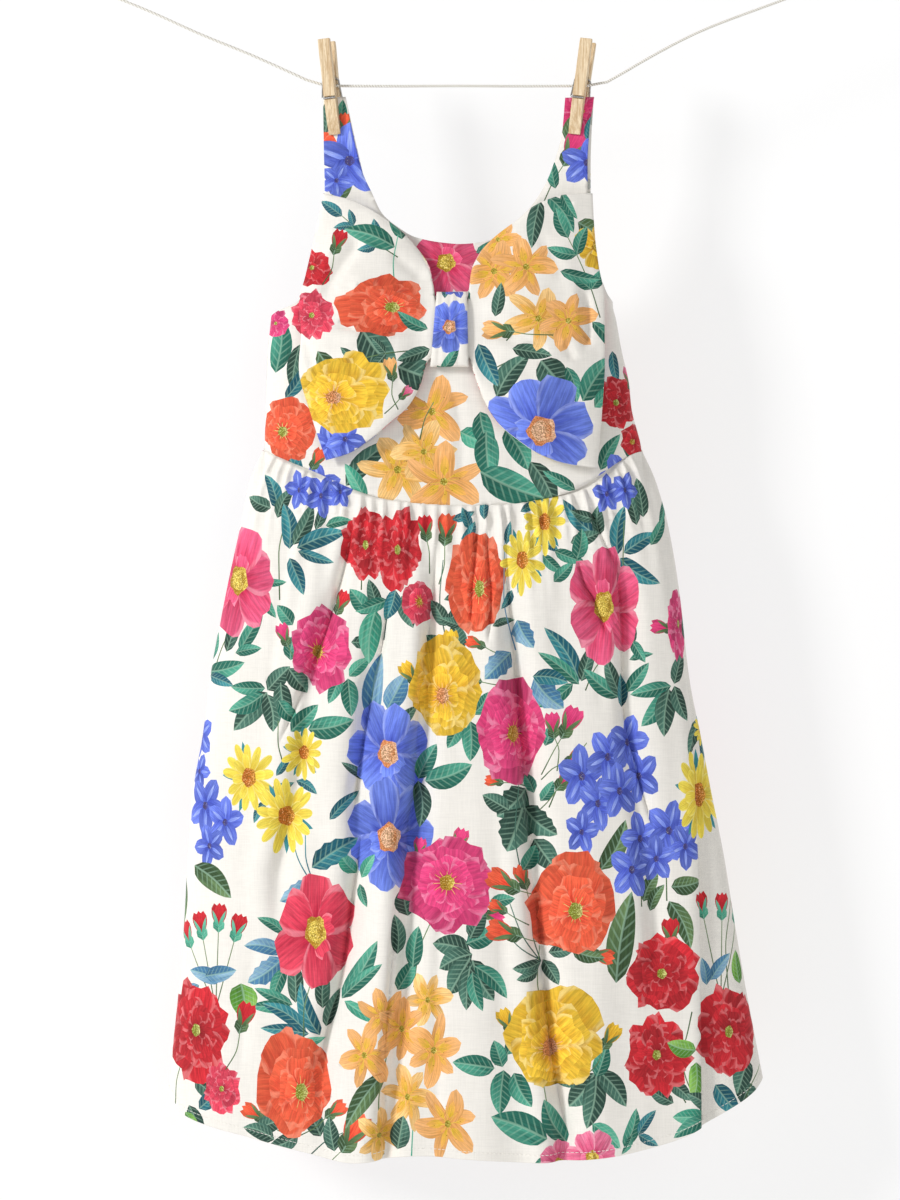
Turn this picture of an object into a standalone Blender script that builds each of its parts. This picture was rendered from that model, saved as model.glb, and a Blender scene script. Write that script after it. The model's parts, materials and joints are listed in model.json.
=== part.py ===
"""A sleeveless mini dress with a large bow on its chest, pegged by both straps to a clothesline.

Each piece that a maker would cut from cloth is a thin wall of its own: bodice front and back with
their straps cut in one, two bow loops, the bow's knot, and a gathered skirt front and back. The
holder is a level stretch of line with its rising ends, and two spring clothes pegs.

Every size below is in millimetres. +Z is up, the front faces -Y and +X is to the right as seen from
the front. The origin is the middle of the line between the two pegs.
"""

import math

import bmesh
import bpy
import numpy as np
from mathutils import Matrix, Vector
from mathutils.geometry import delaunay_2d_cdt

MM = 0.001

# Cloth: thickness of each wall, gap where two pieces meet, and how square the dress's section is
WALL = 1.5
SEAM = 0.3
ROUND = 2.2

# Height, left and right edge of the bodice as seen from the front
BODICE_SIDES = (
    (-318.0, -146.0, 141.5),
    (-276.0, -145.5, 139.5),
    (-244.0, -144.5, 132.0),
    (-225.0, -144.0, 130.0),
    (-200.0, -143.0, 124.5),
    (-175.5, -140.5, 120.0),
    (-165.8, -140.0, 117.8),
    (0.0, -140.0, 117.8),
)

# Height, left and right edge of the skirt
SKIRT_SIDES = (
    (-276.0, -147.0, 140.0),
    (-298.0, -156.5, 150.0),
    (-334.0, -164.0, 160.0),
    (-378.0, -173.5, 167.5),
    (-450.0, -187.0, 176.0),
    (-490.0, -192.0, 184.0),
    (-530.0, -199.0, 191.5),
    (-583.0, -203.5, 202.0),
    (-630.0, -206.0, 209.5),
    (-680.0, -210.0, 218.0),
    (-751.0, -217.5, 231.5),
)

# Height, and how far the front and the back stand off the middle plane
DEPTHS = (
    (-806.0, 46.0, 42.0),
    (-600.0, 40.0, 36.0),
    (-400.0, 31.0, 26.0),
    (-318.0, 26.0, 19.0),
    (-276.0, 25.0, 18.0),
    (-175.0, 21.0, 14.0),
    (-120.0, 12.0, 8.5),
    (-88.0, 5.6, 4.6),
    (-62.0, 1.8, 1.6),
    (-42.0, 0.3, 0.3),
    (0.0, 0.15, 0.15),
)

# Sideways place and height of points on the cut edges of the bodice
WAIST_FRONT = (
    (-146.0, -275.5),
    (-135.8, -281.3),
    (-115.5, -291.0),
    (-80.3, -306.8),
    (-57.8, -312.8),
    (-30.8, -316.0),
    (-1.5, -318.0),
    (32.3, -317.3),
    (77.3, -311.3),
    (99.8, -303.8),
    (113.3, -294.3),
    (124.5, -284.5),
    (132.5, -278.5),
    (141.0, -275.0),
)
WAIST_BACK = ((-146.0, -275.5), (-80.0, -281.0), (0.0, -283.0), (80.0, -281.0), (141.0, -275.0))
NECK_FRONT = (
    (-84.0, -8.5),
    (-78.8, -36.0),
    (-71.3, -66.0),
    (-64.5, -81.0),
    (-56.3, -97.5),
    (-44.3, -108.0),
    (-31.5, -115.5),
    (-12.8, -119.5),
    (2.3, -120.8),
    (18.8, -119.3),
    (34.0, -112.0),
    (50.0, -98.0),
    (63.0, -81.0),
    (72.0, -62.0),
    (79.5, -34.0),
    (81.8, -8.5),
)
NECK_BACK = (
    (-84.0, -8.5),
    (-78.0, -36.0),
    (-70.0, -70.0),
    (-61.0, -100.0),
    (-45.0, -126.0),
    (-22.0, -140.0),
    (0.0, -143.5),
    (24.0, -139.0),
    (45.0, -124.0),
    (62.0, -98.0),
    (74.0, -62.0),
    (81.0, -34.0),
    (83.5, -8.5),
)
ARM_LEFT = (
    (-140.5, -175.5),
    (-135.0, -171.0),
    (-120.0, -164.3),
    (-109.5, -149.0),
    (-104.0, -127.0),
    (-100.5, -104.0),
    (-99.8, -81.0),
    (-100.5, -51.0),
    (-101.2, -8.5),
)
ARM_RIGHT_FRONT = (
    (103.5, -8.5),
    (99.8, -34.0),
    (98.4, -60.0),
    (98.4, -86.0),
    (99.5, -116.0),
    (103.0, -138.0),
    (109.5, -150.0),
    (112.5, -157.5),
    (118.0, -165.8),
)
ARM_RIGHT_BACK = (
    (103.5, -8.5),
    (101.8, -34.0),
    (101.0, -60.0),
    (101.0, -86.0),
    (101.5, -116.0),
    (104.0, -138.0),
    (109.5, -150.0),
    (112.5, -157.5),
    (118.0, -165.8),
)
HEM = (
    (-217.5, -758.0),
    (-202.0, -776.0),
    (-155.0, -789.0),
    (-112.0, -799.5),
    (-78.0, -806.0),
    (-28.0, -801.0),
    (9.0, -803.0),
    (63.0, -806.0),
    (109.5, -802.5),
    (143.0, -796.5),
    (166.5, -790.0),
    (190.5, -778.0),
    (223.0, -758.0),
    (231.5, -746.0),
)

# Points on a panel's waist seam, and the distance between points elsewhere in each bodice panel
WAIST_STEPS = 41
BODICE_STEP_FRONT = 13.0
BODICE_STEP_BACK = 15.0

# Gathers under the waist, a little uneven
GATHERS_FRONT = 32
GATHERS_BACK = 26
# How far a gather stands out, how far down it fades, its width as a share of the spacing, how far the
# outermost ones lie across the waist, and the distance below the seam at which they stand out fully
GATHER_HEIGHT = 2.9
GATHER_LENGTH = 62.0
GATHER_SHARE = 0.28
GATHER_REACH = 0.93
GATHER_RISE = 9.0

# Long soft folds of the skirt: place and height of the top, middle and foot, then how far it stands
# out and its width. Each grows from nothing below its top and fades out past its foot.
FOLD_START = 70.0
FOLD_END = 60.0
FOLDS_FRONT = (
    (-76.5, -338.0, -101.0, -415.0, -133.0, -590.0, -6.0, 9.0),
    (-63.0, -400.0, -81.0, -617.0, -100.0, -740.0, -6.5, 9.0),
    (-17.0, -345.0, -28.0, -502.0, -52.5, -790.0, -8.5, 8.0),
    (33.0, -345.0, 49.5, -515.0, 77.0, -800.0, -8.0, 9.0),
    (120.0, -330.0, 128.0, -478.0, 146.0, -640.0, -5.0, 10.0),
    (147.0, -330.0, 178.5, -502.0, 184.0, -790.0, -8.0, 8.0),
    (-45.0, -420.0, -55.0, -600.0, -76.0, -800.0, 5.0, 15.0),
    (8.0, -420.0, 12.0, -600.0, 14.0, -806.0, 5.0, 24.0),
    (86.0, -420.0, 98.0, -600.0, 112.0, -803.0, 5.0, 20.0),
)
FOLDS_BACK = (
    (-110.0, -330.0, -128.0, -480.0, -150.0, -780.0, -7.0, 10.0),
    (-48.0, -330.0, -60.0, -500.0, -78.0, -790.0, -8.0, 9.0),
    (20.0, -330.0, 24.0, -520.0, 26.0, -790.0, -7.0, 10.0),
    (84.0, -330.0, 104.0, -520.0, 128.0, -780.0, -8.0, 9.0),
    (-20.0, -420.0, -20.0, -600.0, -24.0, -800.0, 5.0, 18.0),
    (60.0, -420.0, 68.0, -600.0, 78.0, -800.0, 5.0, 18.0),
)

# Columns of the skirt between its outermost gathers and its side seams, as shares across
EDGE_COLUMNS = (0.955, 0.975, 0.99, 0.998, 1.0)
# How much higher the back hem hangs
BACK_HEM_LIFT = 4.0
# Rows of the skirt, as shares of the way from waist to hem
ROWS_FRONT = (0.0, 0.014, 0.045, 0.11, 0.22, 0.4, 0.62, 0.82, 1.0)
ROWS_BACK = (0.0, 0.015, 0.05, 0.13, 0.28, 0.5, 0.76, 1.0)

# The bow: sideways place and height along each loop's edges, from the outside in or from the top down
BOW_LEFT = {
    "top": (
        (-100.5, -82.5),
        (-78.8, -88.5),
        (-61.5, -97.5),
        (-43.5, -110.5),
        (-31.5, -122.5),
        (-20.0, -140.5),
        (-17.5, -153.0),
        (-15.5, -164.8),
        (-6.2, -164.8),
    ),
    "outer": (
        (-100.5, -82.5),
        (-106.5, -112.5),
        (-114.0, -146.3),
        (-118.6, -165.0),
        (-117.0, -189.0),
        (-118.6, -213.0),
        (-109.0, -251.0),
        (-98.0, -284.0),
    ),
    "bottom": (
        (-98.0, -284.0),
        (-81.0, -279.0),
        (-63.8, -268.0),
        (-50.3, -256.5),
        (-36.0, -243.5),
        (-27.0, -227.0),
        (-23.5, -214.5),
        (-19.5, -207.8),
        (-6.2, -207.8),
    ),
}
BOW_RIGHT = {
    "top": (
        (102.0, -82.5),
        (81.0, -84.0),
        (68.3, -87.8),
        (56.3, -93.8),
        (45.8, -102.8),
        (26.3, -118.0),
        (15.8, -130.0),
        (10.3, -144.0),
        (9.0, -155.0),
        (7.0, -164.8),
        (-5.2, -164.8),
    ),
    "outer": (
        (102.0, -82.5),
        (103.5, -112.5),
        (106.5, -138.0),
        (110.6, -162.0),
        (110.8, -212.0),
        (108.5, -250.0),
        (105.0, -290.0),
    ),
    "bottom": (
        (105.0, -290.0),
        (81.0, -286.5),
        (63.0, -280.5),
        (45.8, -269.3),
        (30.8, -256.5),
        (18.8, -237.0),
        (11.5, -216.0),
        (8.5, -207.8),
        (-5.2, -207.8),
    ),
}
# Share of the way from the knot to the fold, lift off the bodice, and half the gap between layers
BOW_PUFF = (
    (0.0, 6.3, 1.25),
    (0.16, 6.3, 1.25),
    (0.36, 8.0, 3.8),
    (0.55, 9.4, 4.8),
    (0.8, 8.6, 4.4),
    (1.0, 7.4, 4.0),
)
BOW_ROWS = 9
# Shares of the way from the knot to the fold at which a loop has a column, in each layer
BOW_STOPS = (0.0, 0.05, 0.085, 0.125, 0.175, 0.25, 0.36, 0.49, 0.63, 0.77, 0.88, 0.96, 1.0)
# Creases of each loop: share out from the knot and share down of both ends, depth, width
CREASES_LEFT = ((0.05, 0.42, 0.85, 0.38, 1.6, 0.07), (0.25, 0.2, 0.9, 0.1, -1.2, 0.1))
CREASES_RIGHT = ((0.05, 0.55, 0.62, 0.52, 1.6, 0.06), (0.8, 0.35, 0.78, 0.62, 1.4, 0.07))

# The knot's left and right edge at its top and at its foot
KNOT_LEFT = (-15.2, -20.0)
KNOT_RIGHT = (7.4, 8.6)
KNOT_TOP = -158.0
KNOT_FOOT = -214.5
KNOT_HALF_DEPTH = 5.9
KNOT_OFF_BODICE = 0.35
KNOT_ROWS = 28

# Pegs
PEG_WIDTH = 9.0
PEG_TWIST = math.radians(12.0)
PEG_PIVOT_HEIGHT = 5.2
# The straps turn with the pegs above this top, not at all below this foot, and only this near a peg
TWIST_TOP = -45.0
TWIST_FOOT = -125.0
TWIST_REACH = 45.0
# Sideways place of the pivot, and lean of the top to the right
PEGS = {"left": (-95.6, math.radians(-5.6)), "right": (95.2, math.radians(8.0))}
JAW = SEAM / 2 + WALL + 0.5
COIL_RADIUS = 2.4
WIRE = 1.4
WIRE_CLEAR = 0.35
COIL_HALF_WIDTH = 2.85
COIL_TURNS = 2.5
# The groove in each leg's outside that the wire lies in: height, and distance out of its floor
WIRE_GROOVE = -15.2
GROOVE_FLOOR = 8.0
# Height above the pivot and distance out from the middle, round one leg from its tip
LEG_OUTSIDE = (
    (29.4, 6.6),
    (29.4, 10.6),
    (24.0, 11.0),
    (4.0, 9.7),
    (-14.0, 9.5),
    (-14.0, GROOVE_FLOOR),
    (-16.4, GROOVE_FLOOR),
    (-16.4, 9.3),
    (-30.0, 7.4),
    (-42.6, 4.4),
    (-42.6, 2.9),
    (-41.2, JAW),
    (-8.8, JAW),
    (-8.2, JAW + 1.1),
    (-6.0, JAW + 1.5),
    (-3.9, JAW + 1.1),
)

# The line: sideways place and height of points on its route
LINE_DIAMETER = 2.0
LINE_ROUTE = (
    (-282.0, 76.0),
    (-270.0, 71.5),
    (-246.0, 62.0),
    (-230.3, 55.5),
    (-194.3, 39.2),
    (-155.3, 23.3),
    (-124.0, 9.3),
    (-108.0, 2.3),
    (-100.0, 0.25),
    (-90.0, 0.0),
    (-45.0, -0.2),
    (0.0, 0.0),
    (45.0, -0.2),
    (90.0, 0.0),
    (101.0, 0.2),
    (110.5, 1.9),
    (127.0, 10.6),
    (147.8, 22.8),
    (183.8, 41.2),
    (237.8, 61.8),
    (268.0, 72.8),
    (280.0, 77.1),
)
LINE_POINTS = 46
LOOP_RADIUS = 6.0
KNOT_BULGE = 1.7


def column(table, number):
    return np.array([row[number] for row in table], float)


def through(at, stops, values):
    """A smooth curve through values at rising stops, read at each place in at. It never overshoots."""
    at = np.clip(np.asarray(at, float), stops[0], stops[-1])
    rates = np.diff(values) / np.diff(stops)
    slopes = np.concatenate([rates[:1], np.zeros(len(rates) - 1), rates[-1:]])
    same = rates[:-1] * rates[1:] > 0
    slopes[1:-1][same] = 2 * rates[:-1][same] * rates[1:][same] / (rates[:-1] + rates[1:])[same]
    k = np.clip(np.searchsorted(stops, at, side="right") - 1, 0, len(stops) - 2)
    span = stops[k + 1] - stops[k]
    t = (at - stops[k]) / span
    return (
        values[k] * (1 + 2 * t) * (1 - t) ** 2
        + values[k + 1] * t * t * (3 - 2 * t)
        + span * (slopes[k] * t * (1 - t) ** 2 + slopes[k + 1] * t * t * (t - 1))
    )


def read(table, at, number, key=0):
    """Column number of a table, read at places in its key column."""
    order = np.argsort(column(table, key))
    return through(at, column(table, key)[order], column(table, number)[order])


def along(points, share):
    """Points of a smooth curve through the given points, at shares of its length."""
    points = np.array(points, float)
    steps = np.concatenate([[0.0], np.cumsum(np.linalg.norm(np.diff(points, axis=0), axis=1))])
    at = np.asarray(share, float) * steps[-1]
    return np.stack([through(at, steps, points[:, k]) for k in range(points.shape[1])], axis=-1)


def every(points, spacing):
    """The curve through the points, cut into equal steps near the spacing."""
    length = np.linalg.norm(np.diff(np.array(points, float), axis=0), axis=1).sum()
    return along(points, np.linspace(0, 1, max(2, round(length / spacing) + 1)))


def oval(across, height, sides, side):
    """A point of the dress's rounded section and the way out of it.

    across runs from -1 to 1, and side is -1 for the front and 1 for the back.
    """
    left, right = read(sides, height, 1), read(sides, height, 2)
    half = (right - left) / 2 - WALL
    depth = read(DEPTHS, height, 1 if side < 0 else 2)
    rest = np.clip(1 - np.abs(across) ** ROUND, 0, 1) ** (1 / ROUND)
    place = np.stack([(left + right) / 2 + half * across, side * (SEAM / 2 + depth * rest), height], -1)
    out = np.stack(
        [
            np.sign(across) * np.abs(across) ** (ROUND - 1) / half,
            side * rest ** (ROUND - 1) / depth,
            np.zeros_like(place[..., 0]),
        ],
        -1,
    )
    return place, out / np.linalg.norm(out, axis=-1, keepdims=True)


def share_across(x, height, sides):
    left, right = read(sides, height, 1), read(sides, height, 2)
    return np.clip((x - (left + right) / 2) / ((right - left) / 2 - WALL), -1, 1)


def twisted(place):
    """Turns the strap tops to lie flat in the twisted pegs."""
    place = place.copy()
    fade = np.clip((place[..., 2] - TWIST_FOOT) / (TWIST_TOP - TWIST_FOOT), 0, 1)
    fade = fade * fade * (3 - 2 * fade)
    for middle, lean in PEGS.values():
        near = np.abs(place[..., 0] - middle) < TWIST_REACH
        axis = middle + (place[..., 2] - PEG_PIVOT_HEIGHT) * math.tan(lean)
        turn = (place[..., 0] - axis) * math.tan(PEG_TWIST)
        place[..., 1] -= np.where(near, turn * fade, 0.0)
    return place


def material(name, colour, roughness, metallic=0.0):
    made = bpy.data.materials.new(name)
    made.use_nodes = True
    shader = made.node_tree.nodes["Principled BSDF"]
    shader.inputs["Base Color"].default_value = (*colour, 1.0)
    shader.inputs["Roughness"].default_value = roughness
    shader.inputs["Metallic"].default_value = metallic
    made.diffuse_color = (*colour, 1.0)
    return made


def add(name, bm, finish):
    """Makes an object of a mesh in millimetres and turns its faces outwards."""
    bmesh.ops.recalc_face_normals(bm, faces=bm.faces)
    bmesh.ops.scale(bm, vec=(MM, MM, MM), verts=bm.verts)
    mesh = bpy.data.meshes.new(name)
    bm.to_mesh(mesh)
    bm.free()
    made = bpy.data.objects.new(name, mesh)
    made.data.materials.append(finish)
    bpy.context.scene.collection.objects.link(made)
    return made


def wall(name, inner, outer, faces, finish):
    """A closed wall between two copies of one sheet, with a rim round its free edges."""
    bm = bmesh.new()
    inside = [bm.verts.new(p) for p in inner]
    outside = [bm.verts.new(p) for p in outer]
    uses = {}
    for face in faces:
        bm.faces.new([outside[k] for k in face])
        bm.faces.new([inside[k] for k in reversed(face)])
        for a, b in zip(face, face[1:] + face[:1]):
            uses[(a, b)] = True
    for a, b in uses:
        if (b, a) not in uses:
            bm.faces.new([outside[b], outside[a], inside[a], inside[b]])
    return add(name, bm, finish)


def grid_faces(rows, columns, closed=False):
    faces = []
    for r in range(rows - 1):
        for c in range(columns if closed else columns - 1):
            d = (c + 1) % columns
            faces.append([r * columns + c, r * columns + d, (r + 1) * columns + d, (r + 1) * columns + c])
    return faces


def neck_top(edges):
    return max(point[1] for edge in edges for point in edge)


def bodice(name, waist, edges, side, spacing, finish):
    """A bodice panel with its two straps, from its waist and its other cut edges in order round it."""
    x = np.linspace(waist[-1][0], waist[0][0], WAIST_STEPS)
    seam = np.stack([x, read(waist, x, 1)], -1)
    outline = np.concatenate([seam[:-1]] + [every(edge, spacing)[:-1] for edge in edges])
    inside = []
    low, high = min(row[1] for row in waist), neck_top(edges)
    for height in np.arange(low + spacing / 3, high, spacing):
        for turn in np.linspace(-0.97, 0.97, 2 * round(150.0 / spacing)):
            across = math.sin(turn * math.pi / 2)
            left, right = read(BODICE_SIDES, height, 1), read(BODICE_SIDES, height, 2)
            inside.append(((left + right) / 2 + ((right - left) / 2 - WALL) * across, height))
    inside = np.array(inside)
    gaps = np.linalg.norm(inside[:, None] - outline[None], axis=2).min(1)
    inside = inside[gaps > spacing * 0.45]
    flat = [Vector(p) for p in np.concatenate([outline, inside])]
    points, _, faces, *_ = delaunay_2d_cdt(flat, [], [list(range(len(outline)))], 1, 1e-4)
    flat = np.array(points)
    used = sorted({k for face in faces for k in face})
    place_of = {k: n for n, k in enumerate(used)}
    faces = [[place_of[k] for k in face] for face in faces]
    flat = flat[used]
    across = share_across(flat[:, 0], flat[:, 1], BODICE_SIDES)
    place, out = oval(across, flat[:, 1], BODICE_SIDES, side)
    return wall(name, twisted(place), twisted(place + WALL * out), faces, finish)


def gather_places(count):
    """Shares across the waist of each gather's crest, evenly spaced but for small drifts."""
    k = np.arange(count)
    return np.linspace(-GATHER_REACH, GATHER_REACH, count) + 0.3 / count * np.sin(2.4 * k + 0.5)


def gathers(across, below, count):
    """How far the gathers stand out, at shares across and distances below the waist."""
    total = np.zeros_like(across)
    width = GATHER_SHARE * 2 * GATHER_REACH / (count - 1)
    rise = 0.35 + 0.65 * np.clip(below / GATHER_RISE, 0, 1)
    for k, place in enumerate(gather_places(count)):
        height = GATHER_HEIGHT * (1 + 0.2 * math.sin(1.7 * k + 1))
        length = GATHER_LENGTH * (1 + 0.45 * math.sin(3.1 * k))
        crest = np.exp(-(((across - place) / width) ** 2))
        total += crest * height * rise * np.exp(-below / length)
    return total


def folds(place, table):
    """How far the long folds stand out or in, at places on the skirt."""
    total = np.zeros(place.shape[:-1])
    for top_x, top, middle_x, middle, foot_x, foot, depth, width in table:
        stops = np.array([foot, middle, top])
        path = through(place[..., 2], stops, np.array([foot_x, middle_x, top_x]))
        start = np.clip((top - place[..., 2]) / FOLD_START, 0, 1)
        end = np.clip((place[..., 2] - foot) / FOLD_END + 1.0, 0, 1)
        total += depth * start * end * np.exp(-(((place[..., 0] - path) / width) ** 2))
    return total


def edge_heights(across, edge, start):
    """The height at which each share across the skirt meets a cut edge, found in a few steps."""
    height = np.full_like(across, start)
    for _ in range(12):
        left, right = read(SKIRT_SIDES, height, 1), read(SKIRT_SIDES, height, 2)
        x = (left + right) / 2 + ((right - left) / 2 - WALL) * across
        height = read(edge, x, 1)
    return height


def skirt(name, waist, count, rows, table, side, lift, finish):
    """A skirt panel from seam to seam, with a column at each gather's crest, foot and slopes."""
    crests = gather_places(count)
    steps = np.linspace(0, 1, 5)[:-1]
    columns = [crests[k] + (crests[k + 1] - crests[k]) * s for k in range(count - 1) for s in steps]
    edge = np.array(EDGE_COLUMNS)
    columns = np.concatenate([-edge[::-1], columns, [crests[-1]], edge])
    top = edge_heights(columns, waist, -300.0) - 2 * SEAM
    foot = edge_heights(columns, HEM, -780.0) + lift
    height = top + (foot - top) * np.array(rows)[:, None]
    across = np.broadcast_to(columns, height.shape)
    place, out = oval(across, height, SKIRT_SIDES, side)
    proud = gathers(across, top - height, count) + folds(place, table)
    proud = proud * (1 - np.abs(across) ** 14)
    inner = place + out * proud[..., None]
    outer = inner + out * WALL
    faces = grid_faces(*height.shape)
    return wall(name, inner.reshape(-1, 3), outer.reshape(-1, 3), faces, finish)


def bodice_face(x, height):
    """The outer face of the bodice front behind a place on the bow."""
    across = np.clip(share_across(x, height, BODICE_SIDES), -0.86, 0.86)
    place, out = oval(across, height, BODICE_SIDES, -1)
    return (place + WALL * out)[..., 1]


def loop_sheet(edges, creases, turn, down):
    """The middle of a bow loop's cloth.

    turn runs from -1, behind at the knot, round the outer fold at 0, to 1, in front at the knot.
    down runs from 0 at the top edge to 1 at the bottom edge.
    """
    out = np.sin((1 - np.abs(turn)) * math.pi / 2)
    top, bottom, outer = edges["top"], edges["bottom"], edges["outer"]
    upper = along(top[::-1], out)
    lower = along(bottom, 1 - out)
    fold = along(outer, down)
    knot = along((top[-1], bottom[-1]), down)
    d, o = down[..., None], out[..., None]
    corners = (1 - d) * ((1 - o) * np.array(top[-1]) + o * np.array(top[0]))
    corners = corners + d * ((1 - o) * np.array(bottom[-1]) + o * np.array(bottom[0]))
    flat = (1 - d) * upper + d * lower + (1 - o) * knot + o * fold - corners
    x, height = flat[..., 0], flat[..., 1]
    lift = through(out, column(BOW_PUFF, 0), column(BOW_PUFF, 1))
    gap = through(out, column(BOW_PUFF, 0), column(BOW_PUFF, 2))
    dent = np.zeros_like(x)
    for out_a, down_a, out_b, down_b, depth, width in creases:
        a, b = np.array((out_a, down_a)), np.array((out_b, down_b))
        here = np.stack([out, down], -1) - a
        share = np.clip((here @ (b - a)) / ((b - a) @ (b - a)), 0, 1)
        away = np.linalg.norm(here - share[..., None] * (b - a), axis=-1)
        dent += depth * np.exp(-((away / width) ** 2))
    middle = bodice_face(x, height) - lift
    layer = np.sign(turn) * gap * np.sqrt(np.clip(1 - out**8, 0, 1))
    y = middle - layer + np.where(turn > 0, dent * np.clip((1 - out) * 6, 0, 1), 0)
    return np.stack([x, y, height], -1)


def thickened(sheet):
    """Both faces of a grid of points, half a wall to each side."""
    across = np.gradient(sheet, axis=1)
    down = np.gradient(sheet, axis=0)
    out = np.cross(across, down)
    out = out / np.linalg.norm(out, axis=-1, keepdims=True)
    return sheet - out * WALL / 2, sheet + out * WALL / 2


def bow_loop(name, edges, creases, finish):
    half = 1 - np.arcsin(BOW_STOPS) * 2 / math.pi
    turn, down = np.meshgrid(np.concatenate([-half, half[-2::-1]]), np.linspace(0, 1, BOW_ROWS))
    inner, outer = thickened(loop_sheet(edges, creases, turn, down))
    faces = grid_faces(*turn.shape)
    return wall(name, inner.reshape(-1, 3), outer.reshape(-1, 3), faces, finish)


def knot_ring(turn, across, inset):
    """A point of the knot, a band that goes round the pinched middle of the bow."""
    middle = (KNOT_TOP + KNOT_FOOT) / 2
    tall = np.sign(np.sin(turn)) * np.abs(np.sin(turn)) ** 0.8
    height = middle + ((KNOT_TOP - KNOT_FOOT) / 2 - inset) * tall
    deep = np.sign(np.cos(turn)) * np.abs(np.cos(turn)) ** 0.7
    down = (KNOT_TOP - height) / (KNOT_TOP - KNOT_FOOT)
    left = KNOT_LEFT[0] + (KNOT_LEFT[1] - KNOT_LEFT[0]) * down
    right = KNOT_RIGHT[0] + (KNOT_RIGHT[1] - KNOT_RIGHT[0]) * down
    x = (left + right) / 2 + (right - left) / 2 * across
    middle_x = np.full_like(height, (KNOT_LEFT[0] + KNOT_RIGHT[1]) / 2)
    back = bodice_face(middle_x, height) - KNOT_OFF_BODICE - KNOT_HALF_DEPTH
    y = back + (KNOT_HALF_DEPTH - inset) * deep * (1 + 0.12 * (1 - across**2) * (deep < 0))
    return np.stack([x, y, height], -1)


def bow_knot(name, finish):
    across, turn = np.meshgrid(np.linspace(-1, 1, 5), np.linspace(0, 2 * math.pi, KNOT_ROWS + 1)[:-1])
    inner = knot_ring(turn, across, WALL).transpose(1, 0, 2)
    outer = knot_ring(turn, across, 0.0).transpose(1, 0, 2)
    faces = grid_faces(5, KNOT_ROWS, closed=True)
    return wall(name, inner.reshape(-1, 3), outer.reshape(-1, 3), faces, finish)


def peg_matrix(side):
    """From a peg's own frame (across, out, up from the pivot) to the dress's frame."""
    middle, lean = PEGS[side]
    turn = Matrix.Rotation(lean, 4, "Y") @ Matrix.Rotation(-PEG_TWIST, 4, "Z")
    return Matrix.Translation((middle, 0, PEG_PIVOT_HEIGHT)) @ turn


def peg_leg(name, side, front, finish):
    """One wooden leg: its outline, with a notch for the coil, extruded across the width."""
    notch = COIL_RADIUS + WIRE / 2 + WIRE_CLEAR
    start = math.asin(JAW / notch)
    arc = [(-notch * math.cos(a), notch * math.sin(a)) for a in np.linspace(start, math.pi - start, 7)]
    bm = bmesh.new()
    ring = [bm.verts.new((-PEG_WIDTH / 2, front * out, up)) for up, out in (*LEG_OUTSIDE, *arc)]
    face = bm.faces.new(ring)
    grown = bmesh.ops.extrude_face_region(bm, geom=[face])["geom"]
    bmesh.ops.translate(
        bm, vec=(PEG_WIDTH, 0, 0), verts=[v for v in grown if isinstance(v, bmesh.types.BMVert)]
    )
    bm.transform(peg_matrix(side))
    return add(name, bm, finish)


def wire_route():
    """The spring: a coil across the peg, then an arm down each side and over each leg's groove."""
    beside = PEG_WIDTH / 2 + WIRE / 2 + WIRE_CLEAR
    groove = GROOVE_FLOOR + WIRE / 2 + WIRE_CLEAR
    turns = np.linspace(0, 2 * math.pi * COIL_TURNS, round(12 * COIL_TURNS) + 1)
    coil = [
        (
            -COIL_HALF_WIDTH + 2 * COIL_HALF_WIDTH * t / turns[-1],
            -COIL_RADIUS * math.cos(t),
            COIL_RADIUS * math.sin(t),
        )
        for t in turns
    ]
    arm = [
        (-beside + 1.3, -COIL_RADIUS, 0.0),
        (-beside, -COIL_RADIUS - 0.3, -1.4),
        (-beside, -groove + 0.6, WIRE_GROOVE + 1.2),
        (-beside + 0.6, -groove, WIRE_GROOVE),
        (0.0, -groove, WIRE_GROOVE),
        (PEG_WIDTH / 2 - 0.3, -groove, WIRE_GROOVE),
    ]
    other = [(-x, -y, z) for x, y, z in arm]
    return arm[::-1] + coil + other


def tube(name, route, diameter, sides, finish):
    """A wire or cord along a route, as a curve with a round bevel and closed ends."""
    curve = bpy.data.curves.new(name, "CURVE")
    curve.dimensions = "3D"
    curve.bevel_depth = diameter / 2 * MM
    curve.bevel_resolution = sides
    curve.use_fill_caps = True
    spline = curve.splines.new("POLY")
    spline.points.add(len(route) - 1)
    for point, place in zip(spline.points, route):
        point.co = (*(Vector(place) * MM), 1.0)
    curve.materials.append(finish)
    made = bpy.data.objects.new(name, curve)
    bpy.context.scene.collection.objects.link(made)
    return made


def end_loop(name, end, inward, finish):
    """The tied eye at an end of the line: a small loop that swells into a knot where it closes."""
    rows, sides = 18, 6
    points = []
    for k in range(rows):
        turn = 2 * math.pi * k / rows
        near = math.remainder(turn, 2 * math.pi)
        thick = LINE_DIAMETER / 2 + KNOT_BULGE * math.exp(-((near / 0.3) ** 2))
        for j in range(sides):
            around = 2 * math.pi * j / sides
            far = LOOP_RADIUS + thick * math.cos(around)
            points.append((far * math.cos(turn), thick * math.sin(around), far * math.sin(turn)))
    centre = np.array(end) - inward * (LOOP_RADIUS + LINE_DIAMETER / 2 + KNOT_BULGE + SEAM)
    bm = bmesh.new()
    angle = math.atan2(inward[2], inward[0])
    verts = [bm.verts.new(p) for p in points]
    for k in range(rows):
        for j in range(sides):
            a, b = (k + 1) % rows * sides, k * sides
            bm.faces.new([verts[b + j], verts[b + (j + 1) % sides], verts[a + (j + 1) % sides], verts[a + j]])
    bm.transform(Matrix.Translation(centre) @ Matrix.Rotation(-angle, 4, "Y"))
    return add(name, bm, finish)


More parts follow.
